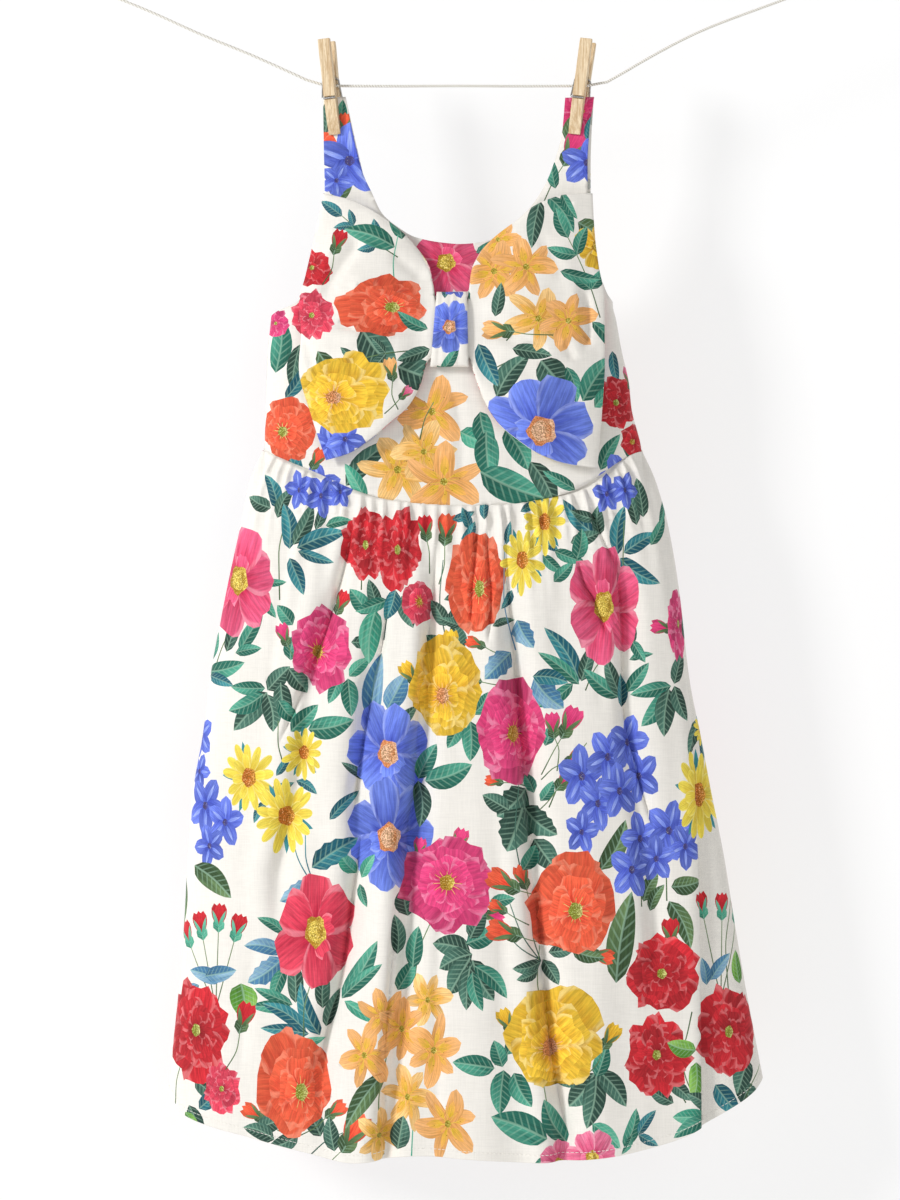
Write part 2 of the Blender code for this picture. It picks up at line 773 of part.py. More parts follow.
def build():
    for old in list(bpy.data.objects):
        bpy.data.objects.remove(old, do_unlink=True)
    cloth = material("printed_cotton", (0.93, 0.91, 0.88), 0.8)
    wood = material("peg_wood", (0.80, 0.62, 0.42), 0.55)
    steel = material("spring_steel", (0.62, 0.62, 0.63), 0.3, 1.0)
    cord = material("line_cord", (0.93, 0.92, 0.89), 0.7)

    low_left, low_right = WAIST_FRONT[0], WAIST_FRONT[-1]
    side_left = [(read(BODICE_SIDES, z, 1), z) for z in (-275.5, -250.0, -225.0, -200.0, -175.5)]
    side_right = [(read(BODICE_SIDES, z, 2), z) for z in (-165.8, -190.0, -218.0, -246.0, -275.0)]
    side_left[0], side_right[-1] = low_left, low_right
    cap_left = [ARM_LEFT[-1], NECK_FRONT[0]]
    for name, waist, neck, arm, side, spacing in (
        ("bodice_front", WAIST_FRONT, NECK_FRONT, ARM_RIGHT_FRONT, -1, BODICE_STEP_FRONT),
        ("bodice_back", WAIST_BACK, NECK_BACK, ARM_RIGHT_BACK, 1, BODICE_STEP_BACK),
    ):
        cap_right = [neck[-1], arm[0]]
        edges = [side_left, ARM_LEFT, cap_left, neck, cap_right, arm, side_right]
        bodice(name, waist, edges, side, spacing, cloth)
    skirt("skirt_front", WAIST_FRONT, GATHERS_FRONT, ROWS_FRONT, FOLDS_FRONT, -1, 0.0, cloth)
    skirt("skirt_back", WAIST_BACK, GATHERS_BACK, ROWS_BACK, FOLDS_BACK, 1, BACK_HEM_LIFT, cloth)
    bow_loop("bow_left", BOW_LEFT, CREASES_LEFT, cloth)
    bow_loop("bow_right", BOW_RIGHT, CREASES_RIGHT, cloth)
    bow_knot("bow_knot", cloth)

    spring = np.array(wire_route())
    for side in PEGS:
        peg_leg(f"peg_{side}_front", side, -1, wood)
        peg_leg(f"peg_{side}_rear", side, 1, wood)
        placed = [peg_matrix(side) @ Vector(p) for p in spring]
        tube(f"spring_{side}", placed, WIRE, 1, steel)

    route = along([(x, 0.0, z) for x, z in LINE_ROUTE], np.linspace(0, 1, LINE_POINTS))
    tube("line", route, LINE_DIAMETER, 2, cord)
    for name, end, next_one in (("line_loop_left", 0, 1), ("line_loop_right", -1, -2)):
        inward = route[next_one] - route[end]
        end_loop(name, route[end], inward / np.linalg.norm(inward), cord)


build()
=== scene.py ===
"""The looks of the pegged mini dress: printed cotton shells with gathers and folds, wooden pegs, wire
springs and a twisted line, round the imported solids.

Sizes are in millimetres, as in part.py, and turn into metres when a mesh is made. The print is
drawn by small functions as shapes in the flat cloth, which are cut into each panel's mesh.
"""

import json
import math
import random

import bmesh
import bpy
import numpy as np
from mathutils import Matrix, Vector
from mathutils.geometry import delaunay_2d_cdt

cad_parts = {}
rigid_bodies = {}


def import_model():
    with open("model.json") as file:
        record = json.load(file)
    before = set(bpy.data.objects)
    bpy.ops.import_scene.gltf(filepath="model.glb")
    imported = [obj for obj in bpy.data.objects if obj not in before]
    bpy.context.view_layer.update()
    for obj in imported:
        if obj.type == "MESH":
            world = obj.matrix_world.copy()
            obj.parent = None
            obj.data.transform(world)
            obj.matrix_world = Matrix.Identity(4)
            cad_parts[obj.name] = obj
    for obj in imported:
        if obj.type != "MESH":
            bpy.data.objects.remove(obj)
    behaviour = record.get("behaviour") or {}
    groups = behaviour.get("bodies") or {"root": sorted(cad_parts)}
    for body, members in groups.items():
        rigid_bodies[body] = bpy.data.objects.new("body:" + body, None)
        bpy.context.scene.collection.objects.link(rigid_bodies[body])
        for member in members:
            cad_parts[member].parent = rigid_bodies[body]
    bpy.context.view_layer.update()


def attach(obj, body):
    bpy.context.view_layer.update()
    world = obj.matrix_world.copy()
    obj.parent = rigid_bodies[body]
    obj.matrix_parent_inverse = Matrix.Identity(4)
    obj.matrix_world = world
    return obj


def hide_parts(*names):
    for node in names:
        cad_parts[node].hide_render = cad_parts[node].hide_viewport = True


for old in list(bpy.data.objects):
    bpy.data.objects.remove(old, do_unlink=True)
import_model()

MM = 0.001

# The photograph: millimetres to a pixel, and the pixel of the dress's origin
SCALE = 0.75
ORIGIN_PIXEL = (457.0, 82.0)
# The camera's place in metres, level with the middle of the photograph, and its lens in millimetres
CAMERA_PLACE = (-0.00525, -2.62, -0.3885)
CAMERA_LENS = 104.0

# Cloth: thickness of each wall, gap where two pieces meet, and how square the dress's section is
WALL = 1.5
SEAM = 0.3
ROUND = 2.2

# Height, left and right edge of the bodice as seen from the front
BODICE_SIDES = (
    (-318.0, -146.0, 141.5), (-276.0, -145.5, 139.5), (-244.0, -144.5, 132.0), (-225.0, -144.0, 130.0),
    (-200.0, -143.0, 124.5), (-175.5, -140.5, 120.0), (-165.8, -140.0, 117.8), (0.0, -140.0, 117.8),
)

# Height, left and right edge of the skirt
SKIRT_SIDES = (
    (-276.0, -147.0, 140.0), (-298.0, -156.5, 150.0), (-334.0, -164.0, 160.0), (-378.0, -173.5, 167.5),
    (-450.0, -187.0, 176.0), (-490.0, -192.0, 184.0), (-530.0, -199.0, 191.5), (-583.0, -203.5, 202.0),
    (-630.0, -206.0, 209.5), (-680.0, -210.0, 218.0), (-751.0, -217.5, 231.5),
)

# Height, and how far the front and the back stand off the middle plane
DEPTHS = (
    (-806.0, 46.0, 42.0), (-600.0, 40.0, 36.0), (-400.0, 31.0, 26.0), (-318.0, 26.0, 19.0),
    (-276.0, 25.0, 18.0), (-175.0, 21.0, 14.0), (-120.0, 12.0, 8.5), (-88.0, 5.6, 4.6),
    (-62.0, 1.8, 1.6), (-42.0, 0.3, 0.3), (0.0, 0.15, 0.15),
)

# Sideways place and height of points on the cut edges of the bodice
WAIST_FRONT = (
    (-146.0, -275.5), (-135.8, -281.3), (-115.5, -291.0), (-80.3, -306.8), (-57.8, -312.8),
    (-30.8, -316.0), (-1.5, -318.0), (32.3, -317.3), (77.3, -311.3), (99.8, -303.8), (113.3, -294.3),
    (124.5, -284.5), (132.5, -278.5), (141.0, -275.0),
)
WAIST_BACK = ((-146.0, -275.5), (-80.0, -281.0), (0.0, -283.0), (80.0, -281.0), (141.0, -275.0))
NECK_FRONT = (
    (-84.0, -8.5), (-78.8, -36.0), (-71.3, -66.0), (-64.5, -81.0), (-56.3, -97.5), (-44.3, -108.0),
    (-31.5, -115.5), (-12.8, -119.5), (2.3, -120.8), (18.8, -119.3), (34.0, -112.0), (50.0, -98.0),
    (63.0, -81.0), (72.0, -62.0), (79.5, -34.0), (81.8, -8.5),
)
NECK_BACK = (
    (-84.0, -8.5), (-78.0, -36.0), (-70.0, -70.0), (-61.0, -100.0), (-45.0, -126.0), (-22.0, -140.0),
    (0.0, -143.5), (24.0, -139.0), (45.0, -124.0), (62.0, -98.0), (74.0, -62.0), (81.0, -34.0),
    (83.5, -8.5),
)
ARM_LEFT = (
    (-140.5, -175.5), (-135.0, -171.0), (-120.0, -164.3), (-109.5, -149.0), (-104.0, -127.0),
    (-100.5, -104.0), (-99.8, -81.0), (-100.5, -51.0), (-101.2, -8.5),
)
ARM_RIGHT_FRONT = (
    (103.5, -8.5), (99.8, -34.0), (98.4, -60.0), (98.4, -86.0), (99.5, -116.0), (103.0, -138.0),
    (109.5, -150.0), (112.5, -157.5), (118.0, -165.8),
)
ARM_RIGHT_BACK = (
    (103.5, -8.5), (101.8, -34.0), (101.0, -60.0), (101.0, -86.0), (101.5, -116.0), (104.0, -138.0),
    (109.5, -150.0), (112.5, -157.5), (118.0, -165.8),
)
HEM = (
    (-217.5, -758.0), (-202.0, -776.0), (-155.0, -789.0), (-112.0, -799.5), (-78.0, -806.0),
    (-28.0, -801.0), (9.0, -803.0), (63.0, -806.0), (109.5, -802.5), (143.0, -796.5), (166.5, -790.0),
    (190.5, -778.0), (223.0, -758.0), (231.5, -746.0),
)


# Gathers under the waist, a little uneven
GATHERS_FRONT = 32
GATHERS_BACK = 26
# How far a gather stands out, how far down it fades, its width as a share of the spacing, how far the
# outermost ones lie across the waist, and the distance below the seam at which they stand out fully
GATHER_HEIGHT = 2.9
GATHER_LENGTH = 62.0
GATHER_SHARE = 0.28
GATHER_REACH = 0.93
GATHER_RISE = 9.0

# Long soft folds of the skirt: place and height of the top, middle and foot, then how far it stands
# out and its width. Each grows from nothing below its top and fades out past its foot.
FOLD_START = 70.0
FOLD_END = 60.0
FOLDS_FRONT = (
    (-76.5, -338.0, -101.0, -415.0, -133.0, -590.0, -6.0, 9.0),
    (-63.0, -400.0, -81.0, -617.0, -100.0, -740.0, -6.5, 9.0),
    (-17.0, -345.0, -28.0, -502.0, -52.5, -790.0, -8.5, 8.0),
    (33.0, -345.0, 49.5, -515.0, 77.0, -800.0, -8.0, 9.0),
    (120.0, -330.0, 128.0, -478.0, 146.0, -640.0, -5.0, 10.0),
    (147.0, -330.0, 178.5, -502.0, 184.0, -790.0, -8.0, 8.0),
    (-45.0, -420.0, -55.0, -600.0, -76.0, -800.0, 5.0, 15.0),
    (8.0, -420.0, 12.0, -600.0, 14.0, -806.0, 5.0, 24.0),
    (86.0, -420.0, 98.0, -600.0, 112.0, -803.0, 5.0, 20.0),
)
FOLDS_BACK = (
    (-110.0, -330.0, -128.0, -480.0, -150.0, -780.0, -7.0, 10.0),
    (-48.0, -330.0, -60.0, -500.0, -78.0, -790.0, -8.0, 9.0),
    (20.0, -330.0, 24.0, -520.0, 26.0, -790.0, -7.0, 10.0),
    (84.0, -330.0, 104.0, -520.0, 128.0, -780.0, -8.0, 9.0),
    (-20.0, -420.0, -20.0, -600.0, -24.0, -800.0, 5.0, 18.0),
    (60.0, -420.0, 68.0, -600.0, 78.0, -800.0, 5.0, 18.0),
)

# How much higher the back hem hangs
BACK_HEM_LIFT = 4.0

# The bow: sideways place and height along each loop's edges, from the outside in or from the top down
BOW_LEFT = {
    "top": (
        (-100.5, -82.5), (-78.8, -88.5), (-61.5, -97.5), (-43.5, -110.5), (-31.5, -122.5),
        (-20.0, -140.5), (-17.5, -153.0), (-15.5, -164.8), (-6.2, -164.8),
    ),
    "outer": (
        (-100.5, -82.5), (-106.5, -112.5), (-114.0, -146.3), (-118.6, -165.0), (-117.0, -189.0),
        (-118.6, -213.0), (-109.0, -251.0), (-98.0, -284.0),
    ),
    "bottom": (
        (-98.0, -284.0), (-81.0, -279.0), (-63.8, -268.0), (-50.3, -256.5), (-36.0, -243.5),
        (-27.0, -227.0), (-23.5, -214.5), (-19.5, -207.8), (-6.2, -207.8),
    ),
}
BOW_RIGHT = {
    "top": (
        (102.0, -82.5), (81.0, -84.0), (68.3, -87.8), (56.3, -93.8), (45.8, -102.8), (26.3, -118.0),
        (15.8, -130.0), (10.3, -144.0), (9.0, -155.0), (7.0, -164.8), (-5.2, -164.8),
    ),
    "outer": (
        (102.0, -82.5), (103.5, -112.5), (106.5, -138.0), (110.6, -162.0), (110.8, -212.0),
        (108.5, -250.0), (105.0, -290.0),
    ),
    "bottom": (
        (105.0, -290.0), (81.0, -286.5), (63.0, -280.5), (45.8, -269.3), (30.8, -256.5), (18.8, -237.0),
        (11.5, -216.0), (8.5, -207.8), (-5.2, -207.8),
    ),
}
# Share of the way from the knot to the fold, lift off the bodice, and half the gap between layers
BOW_PUFF = (
    (0.0, 6.3, 1.25), (0.16, 6.3, 1.25), (0.36, 8.0, 3.8), (0.55, 9.4, 4.8), (0.8, 8.6, 4.4),
    (1.0, 7.4, 4.0),
)

# The knot's left and right edge at its top and at its foot
KNOT_LEFT = (-15.2, -20.0)
KNOT_RIGHT = (7.4, 8.6)
KNOT_TOP = -158.0
KNOT_FOOT = -214.5
KNOT_HALF_DEPTH = 5.9
KNOT_OFF_BODICE = 0.35

# Pegs
PEG_WIDTH = 9.0
PEG_TWIST = math.radians(12.0)
PEG_PIVOT_HEIGHT = 5.2
# The straps turn with the pegs above this top, not at all below this foot, and only this near a peg
TWIST_TOP = -45.0
TWIST_FOOT = -125.0
TWIST_REACH = 45.0
# Sideways place of the pivot, and lean of the top to the right
PEGS = {"left": (-95.6, math.radians(-5.6)), "right": (95.2, math.radians(8.0))}
# Distance of a leg's jaw from the middle plane, then the spring: the coil's radius to its wire's middle,
# the wire's thickness and its gap from the wood, half the coil's width, and its turns
JAW = SEAM / 2 + WALL + 0.5
COIL_RADIUS = 2.4
WIRE = 1.4
WIRE_CLEAR = 0.35
COIL_HALF_WIDTH = 2.85
COIL_TURNS = 2.5
# The groove in each leg's outside that the wire lies in: height, and distance out of its floor
WIRE_GROOVE = -15.2
GROOVE_FLOOR = 8.0
# Height above the pivot and distance out from the middle, round one leg from its tip
LEG_OUTSIDE = (
    (29.4, 6.6), (29.4, 10.6), (24.0, 11.0), (4.0, 9.7), (-14.0, 9.5), (-14.0, GROOVE_FLOOR),
    (-16.4, GROOVE_FLOOR), (-16.4, 9.3), (-30.0, 7.4), (-42.6, 4.4), (-42.6, 2.9), (-41.2, JAW),
    (-8.8, JAW), (-8.2, JAW + 1.1), (-6.0, JAW + 1.5), (-3.9, JAW + 1.1),
)

# The line: sideways place and height of points on its route
LINE_DIAMETER = 2.0
LINE_ROUTE = (
    (-282.0, 76.0), (-270.0, 71.5), (-246.0, 62.0), (-230.3, 55.5), (-194.3, 39.2), (-155.3, 23.3),
    (-124.0, 9.3), (-108.0, 2.3), (-100.0, 0.25), (-90.0, 0.0), (-45.0, -0.2), (0.0, 0.0), (45.0, -0.2),
    (90.0, 0.0), (101.0, 0.2), (110.5, 1.9), (127.0, 10.6), (147.8, 22.8), (183.8, 41.2), (237.8, 61.8),
    (268.0, 72.8), (280.0, 77.1),
)
LOOP_RADIUS = 6.0
KNOT_BULGE = 1.7

# Shells: how thick each is, how far apart the points of its net lie, and the seam allowance tucked in
BODICE_THICK = 0.9
BOW_THICK = 0.8
NET = 3.2
NET_WAIST = 1.5
NET_WAIST_DEEP = 60.0
EDGE_NET = 2.4
TUCK = 4.0
HEM_FOLD = 7.0
HEM_STITCH = 5.6


def column(table, number):
    return np.array([row[number] for row in table], float)


def through(at, stops, values):
    """A smooth curve through values at rising stops, read at each place in at. It never overshoots."""
    at = np.clip(np.asarray(at, float), stops[0], stops[-1])
    rates = np.diff(values) / np.diff(stops)
    slopes = np.concatenate([rates[:1], np.zeros(len(rates) - 1), rates[-1:]])
    same = rates[:-1] * rates[1:] > 0
    slopes[1:-1][same] = 2 * rates[:-1][same] * rates[1:][same] / (rates[:-1] + rates[1:])[same]
    k = np.clip(np.searchsorted(stops, at, side="right") - 1, 0, len(stops) - 2)
    span = stops[k + 1] - stops[k]
    t = (at - stops[k]) / span
    return (
        values[k] * (1 + 2 * t) * (1 - t) ** 2
        + values[k + 1] * t * t * (3 - 2 * t)
        + span * (slopes[k] * t * (1 - t) ** 2 + slopes[k + 1] * t * t * (t - 1))
    )


def read(table, at, number, key=0):
    """Column number of a table, read at places in its key column."""
    order = np.argsort(column(table, key))
    return through(at, column(table, key)[order], column(table, number)[order])


def along(points, share):
    """Points of a smooth curve through the given points, at shares of its length."""
    points = np.array(points, float)
    steps = np.concatenate([[0.0], np.cumsum(np.linalg.norm(np.diff(points, axis=0), axis=1))])
    at = np.asarray(share, float) * steps[-1]
    return np.stack([through(at, steps, points[:, k]) for k in range(points.shape[1])], axis=-1)


def every(points, spacing):
    """The curve through the points, cut into equal steps near the spacing."""
    length = np.linalg.norm(np.diff(np.array(points, float), axis=0), axis=1).sum()
    return along(points, np.linspace(0, 1, max(2, round(length / spacing) + 1)))


def smooth(t):
    t = np.clip(t, 0, 1)
    return t * t * (3 - 2 * t)


# How long the section's edge is from its middle, for each ratio of its depth to its half width
SHARES = np.sin(np.linspace(0, 1, 161) * math.pi / 2)
RATIOS = np.linspace(0.0, 0.32, 33)


def bulge(across):
    """How far out the section's edge is at a share across, as a share of its depth."""
    return np.clip(1 - np.abs(across) ** ROUND, 0, 1) ** (1 / ROUND)


def arc_table():
    rows = []
    for ratio in RATIOS:
        rest = ratio * bulge(SHARES)
        rows.append(np.concatenate([[0.0], np.cumsum(np.hypot(np.diff(SHARES), np.diff(rest)))]))
    return np.array(rows)


ARCS = arc_table()


def between_rows(ratio):
    place = np.clip(ratio / (RATIOS[1] - RATIOS[0]), 0, len(RATIOS) - 1.001)
    low = place.astype(int)
    return low, place - low


def arc_of(across, ratio):
    """Length along the section from its middle, in half widths, at a share across."""
    low, part = between_rows(ratio)
    size = np.abs(across)
    found = np.zeros_like(size)
    for row in np.unique(low):
        here = low == row
        a = np.interp(size[here], SHARES, ARCS[row])
        b = np.interp(size[here], SHARES, ARCS[row + 1])
        found[here] = a + (b - a) * part[here]
    return np.sign(across) * found


def across_of(arc, ratio):
    """The share across at a length along the section, the other way round."""
    low, part = between_rows(ratio)
    size = np.abs(arc)
    found = np.zeros_like(size)
    for row in np.unique(low):
        here = low == row
        length = ARCS[row][None] + (ARCS[row + 1] - ARCS[row])[None] * part[here][:, None]
        share = size[here][:, None] >= length
        k = np.clip(share.sum(1) - 1, 0, len(SHARES) - 2)
        step = np.arange(len(k))
        a, b = length[step, k], length[step, k + 1]
        found[here] = SHARES[k] + (SHARES[k + 1] - SHARES[k]) * np.clip((size[here] - a) / (b - a), 0, 1)
    return np.sign(arc) * found


def section(height, sides, side):
    """Middle, half width and depth of the dress's section at each height."""
    left, right = read(sides, height, 1), read(sides, height, 2)
    return (left + right) / 2, (right - left) / 2 - WALL, read(DEPTHS, height, 1 if side < 0 else 2)


def oval(across, height, sides, side):
    """A point of the dress's rounded section and the way out of it."""
    middle, half, depth = section(height, sides, side)
    rest = bulge(across)
    place = np.stack([middle + half * across, side * depth * rest, height], -1)
    out = np.stack(
        [
            np.sign(across) * np.abs(across) ** (ROUND - 1) / half,
            side * rest ** (ROUND - 1) / depth,
            np.zeros_like(place[..., 0]),
        ],
        -1,
    )
    return place, out / np.linalg.norm(out, axis=-1, keepdims=True)


def flat_at(across, height, sides, side):
    """A place in the flat cloth, from a share across the section and a height."""
    middle, half, depth = section(height, sides, side)
    return np.stack([middle + half * arc_of(across, depth / half), height], -1)


def to_flat(x, height, sides, side):
    """From a place seen from the front to the flat cloth."""
    middle, half, _ = section(height, sides, side)
    return flat_at(np.clip((x - middle) / half, -1, 1), height, sides, side)


def from_flat(flat, sides, side):
    """From the flat cloth to a share across the section."""
    middle, half, depth = section(flat[:, 1], sides, side)
    return across_of((flat[:, 0] - middle) / half, depth / half)


def twisted(place):
    """Turns the strap tops to lie flat in the twisted pegs."""
    place = place.copy()
    fade = smooth((place[..., 2] - TWIST_FOOT) / (TWIST_TOP - TWIST_FOOT))
    for middle, lean in PEGS.values():
        near = np.abs(place[..., 0] - middle) < TWIST_REACH
        axis = middle + (place[..., 2] - PEG_PIVOT_HEIGHT) * math.tan(lean)
        turn = (place[..., 0] - axis) * math.tan(PEG_TWIST)
        place[..., 1] -= np.where(near, turn * fade, 0.0)
    return place


# A crease's route is cut into steps this long, and it fades out over one part in so many of its length
CREASE_STEP = 6.0
CREASE_FADE = 5


def creases(x, height, table):
    """How far soft creases stand out, at places seen from the front. Each row is how far it stands
    out, its width on its left and on its right, and the points that it runs through. It fades out
    at both ends."""
    total = np.zeros_like(x)
    for proud, left_width, right_width, *points in table:
        route = every(points, CREASE_STEP)
        share = np.linspace(0, 1, len(route))
        best = np.full(x.shape, 1e9)
        sign = np.zeros_like(x)
        where = np.zeros_like(x)
        for k in range(len(route) - 1):
            a, b = route[k], route[k + 1]
            step = b - a
            t = np.clip(((x - a[0]) * step[0] + (height - a[1]) * step[1]) / (step @ step), 0, 1)
            dx, dz = x - a[0] - t * step[0], height - a[1] - t * step[1]
            far = np.hypot(dx, dz)
            nearer = far < best
            best = np.where(nearer, far, best)
            sign = np.where(nearer, dx, sign)
            where = np.where(nearer, share[k] + (share[k + 1] - share[k]) * t, where)
        width = np.where(sign < 0, left_width, right_width)
        ends = smooth(where * CREASE_FADE) * smooth((1 - where) * CREASE_FADE)
        total += proud * np.exp(-((best / width) ** 2)) * ends
    return total


RIPPLE_WAVES = 7
RIPPLE_LENGTHS = (24.0, 70.0)


def ripple(x, height, seed, size, rough=1.0):
    """Small soft unevenness of hanging cloth, from a few crossing waves."""
    dice = random.Random(seed)
    total = np.zeros_like(x)
    for _ in range(RIPPLE_WAVES):
        wave = dice.uniform(*RIPPLE_LENGTHS) * rough
        turn = dice.uniform(-0.5, 0.5)
        start = dice.uniform(0, 6.3)
        bend = dice.uniform(0.5, 1.5) * np.sin(height / dice.uniform(40, 90) + start)
        run = x * math.cos(turn) + height * math.sin(turn) * 0.5
        total += np.sin(run * 2 * math.pi / wave + start + bend)
    return total * size / 3


def spaced(count, reach=1.0):
    """Shares across the section, closer together towards its sides."""
    return np.sin(np.linspace(-reach, reach, count) * math.pi / 2)


# The waist seam and the hem, as heights at shares across the skirt
EVEN = spaced(201)


def edge_heights(across, edge, start):
    height = np.full_like(across, start)
    for _ in range(14):
        middle, half, _ = section(height, SKIRT_SIDES, -1)
        height = read(edge, middle + half * across, 1)
    return height


TOPS = {
    -1: edge_heights(EVEN, WAIST_FRONT, -300.0) - SEAM,
    1: edge_heights(EVEN, WAIST_BACK, -300.0) - SEAM,
}
FEET = {
    -1: edge_heights(EVEN, HEM, -780.0),
    1: edge_heights(EVEN, HEM, -780.0) + BACK_HEM_LIFT,
}


def waist_height(across, side):
    return np.interp(across, EVEN, TOPS[side])


def foot_height(across, side):
    return np.interp(across, EVEN, FEET[side])


def gather_places(count):
    k = np.arange(count)
    return np.linspace(-GATHER_REACH, GATHER_REACH, count) + 0.3 / count * np.sin(2.4 * k + 0.5)


# Scene gathers: share of the height that the sharp part by the seam adds, and how far down it goes
SHARP_SHARE = 1.0
SHARP_LENGTH = 24.0
# How far a gather wanders and how lopsided it is at most, the share of gathers with a narrow dart at
# their side, and that dart's depth and length
GATHER_DRIFT = 0.012
GATHER_LEAN = 0.25
DART_SHARE = 0.4
DART_DEEP = (0.8, 1.6)
DART_LONG = (20, 60)


def gathers(across, below, count):
    """How far the gathers stand out. By the seam each is sharp and narrow, and further down it
    wanders a little and spreads."""
    total = np.zeros_like(across)
    width = GATHER_SHARE * 2 * GATHER_REACH / (count - 1)
    rise = 0.3 + 0.7 * np.clip(below / GATHER_RISE, 0, 1)
    dice = random.Random(count)
    for k, place in enumerate(gather_places(count)):
        height = GATHER_HEIGHT * (1 + 0.2 * math.sin(1.7 * k + 1))
        length = GATHER_LENGTH * (1 + 0.45 * math.sin(3.1 * k))
        drift = dice.uniform(-GATHER_DRIFT, GATHER_DRIFT)
        lean = dice.uniform(-GATHER_LEAN, GATHER_LEAN)
        path = place + drift * below / GATHER_LENGTH
        spread = width * (1 + below / 110)
        away = (across - path) / spread
        crest = np.exp(-((away * np.where(away * lean > 0, 1.25, 0.85)) ** 2))
        total += crest * height * rise * np.exp(-below / length)
        tight = np.exp(-(((across - path) / (width * 0.62)) ** 2))
        total += tight * height * SHARP_SHARE * rise * np.exp(-below / SHARP_LENGTH)
        if dice.random() < DART_SHARE:
            dart = np.exp(-(((across - path - width) / (width * 0.5)) ** 2))
            total -= dart * dice.uniform(*DART_DEEP) * np.exp(-below / dice.uniform(*DART_LONG))
    return total


def fold_path(row, height):
    top_x, top, middle_x, middle, foot_x, foot = row[:6]
    return through(height, np.array([foot, middle, top]), np.array([foot_x, middle_x, top_x]))


# How far a fold's middle line wavers and over what height, a trough's width to its left and right as
# shares of the fold's, and the place, width and height of the ridge at each side of it
FOLD_WAVER = 1.6
FOLD_WAVE = 37
TROUGH_SIDES = (0.55, 1.15)
TROUGH_RIDGES = ((-1.6, 1.1, 0.5), (2.2, 1.2, 0.18))


def folds(place, table):
    """How far the long folds stand out or in. A trough has a narrow floor and a soft ridge each side,
    higher on its left."""
    total = np.zeros(place.shape[:-1])
    x, height = place[..., 0], place[..., 2]
    for k, row in enumerate(table):
        top, foot, depth, width = row[1], row[5], row[6], row[7]
        start = np.clip((top - height) / FOLD_START, 0, 1)
        end = np.clip((height - foot) / FOLD_END + 1.0, 0, 1)
        away = x - fold_path(row, height)
        away = away + FOLD_WAVER * np.sin(height / FOLD_WAVE + k * 2.1)
        if depth < 0:
            left, right = (width * share for share in TROUGH_SIDES)
            floor = np.exp(-((away / np.where(away < 0, left, right)) ** 2))
            ridge = np.zeros_like(away)
            for middle, wide, high in TROUGH_RIDGES:
                ridge += high * np.exp(-(((away - width * middle) / (width * wide)) ** 2))
            total += start * end * depth * (floor - ridge)
        else:
            total += start * end * depth * np.exp(-((away / width) ** 2))
    return total


# The pleat at the skirt's right side: the height where it starts and the height over which it grows,
# sideways place and height of its edge, how far the cloth beyond it lies back, the widths over which it
# steps there and comes forward again, and how far the edge itself stands out
PLEAT_TOP = -345.0
PLEAT_GROWS = 110
PLEAT_EDGE = ((150.0, PLEAT_TOP), (167.0, -420.0), (176.0, -500.0), (180.5, -620.0), (182.0, -800.0))
PLEAT_BACK = 6.5
PLEAT_STEP = 2.2
PLEAT_RETURN = 42
PLEAT_LIP = 1.6


def pleat(place):
    height, x = place[..., 2], place[..., 0]
    grow = smooth((PLEAT_TOP - height) / PLEAT_GROWS)
    away = x - read(PLEAT_EDGE, height, 0, key=1)
    lip = PLEAT_LIP * np.exp(-(((away + 5) / 6) ** 2))
    back = smooth(away / PLEAT_STEP) * np.exp(-np.clip(away, 0, None) / PLEAT_RETURN)
    return grow * (lip - PLEAT_BACK * back)


# Soft creases of the skirt, as in creases()
SOFT_CREASES = (
    (-1.0, 3.0, 5.0, (-150.0, -640.0), (-158.0, -690.0), (-163.0, -750.0)),
    (-0.9, 3.0, 5.0, (30.0, -560.0), (33.0, -640.0), (30.0, -720.0)),
    (-1.2, 3.0, 5.0, (-10.0, -600.0), (-16.0, -690.0), (-15.0, -800.0)),
    (1.0, 5.0, 4.0, (-62.0, -360.0), (-70.0, -400.0), (-74.0, -450.0)),
    (-1.1, 2.6, 4.0, (98.0, -350.0), (104.0, -410.0), (107.0, -480.0)),
    (-0.9, 2.6, 4.0, (64.0, -340.0), (70.0, -400.0), (72.0, -440.0)),
    (-1.0, 2.6, 4.0, (-120.0, -330.0), (-134.0, -400.0), (-142.0, -470.0)),
    (-1.0, 2.6, 4.0, (5.0, -345.0), (4.0, -400.0), (8.0, -450.0)),
    (-0.8, 2.6, 4.0, (205.0, -600.0), (209.0, -680.0), (210.0, -770.0)),
)
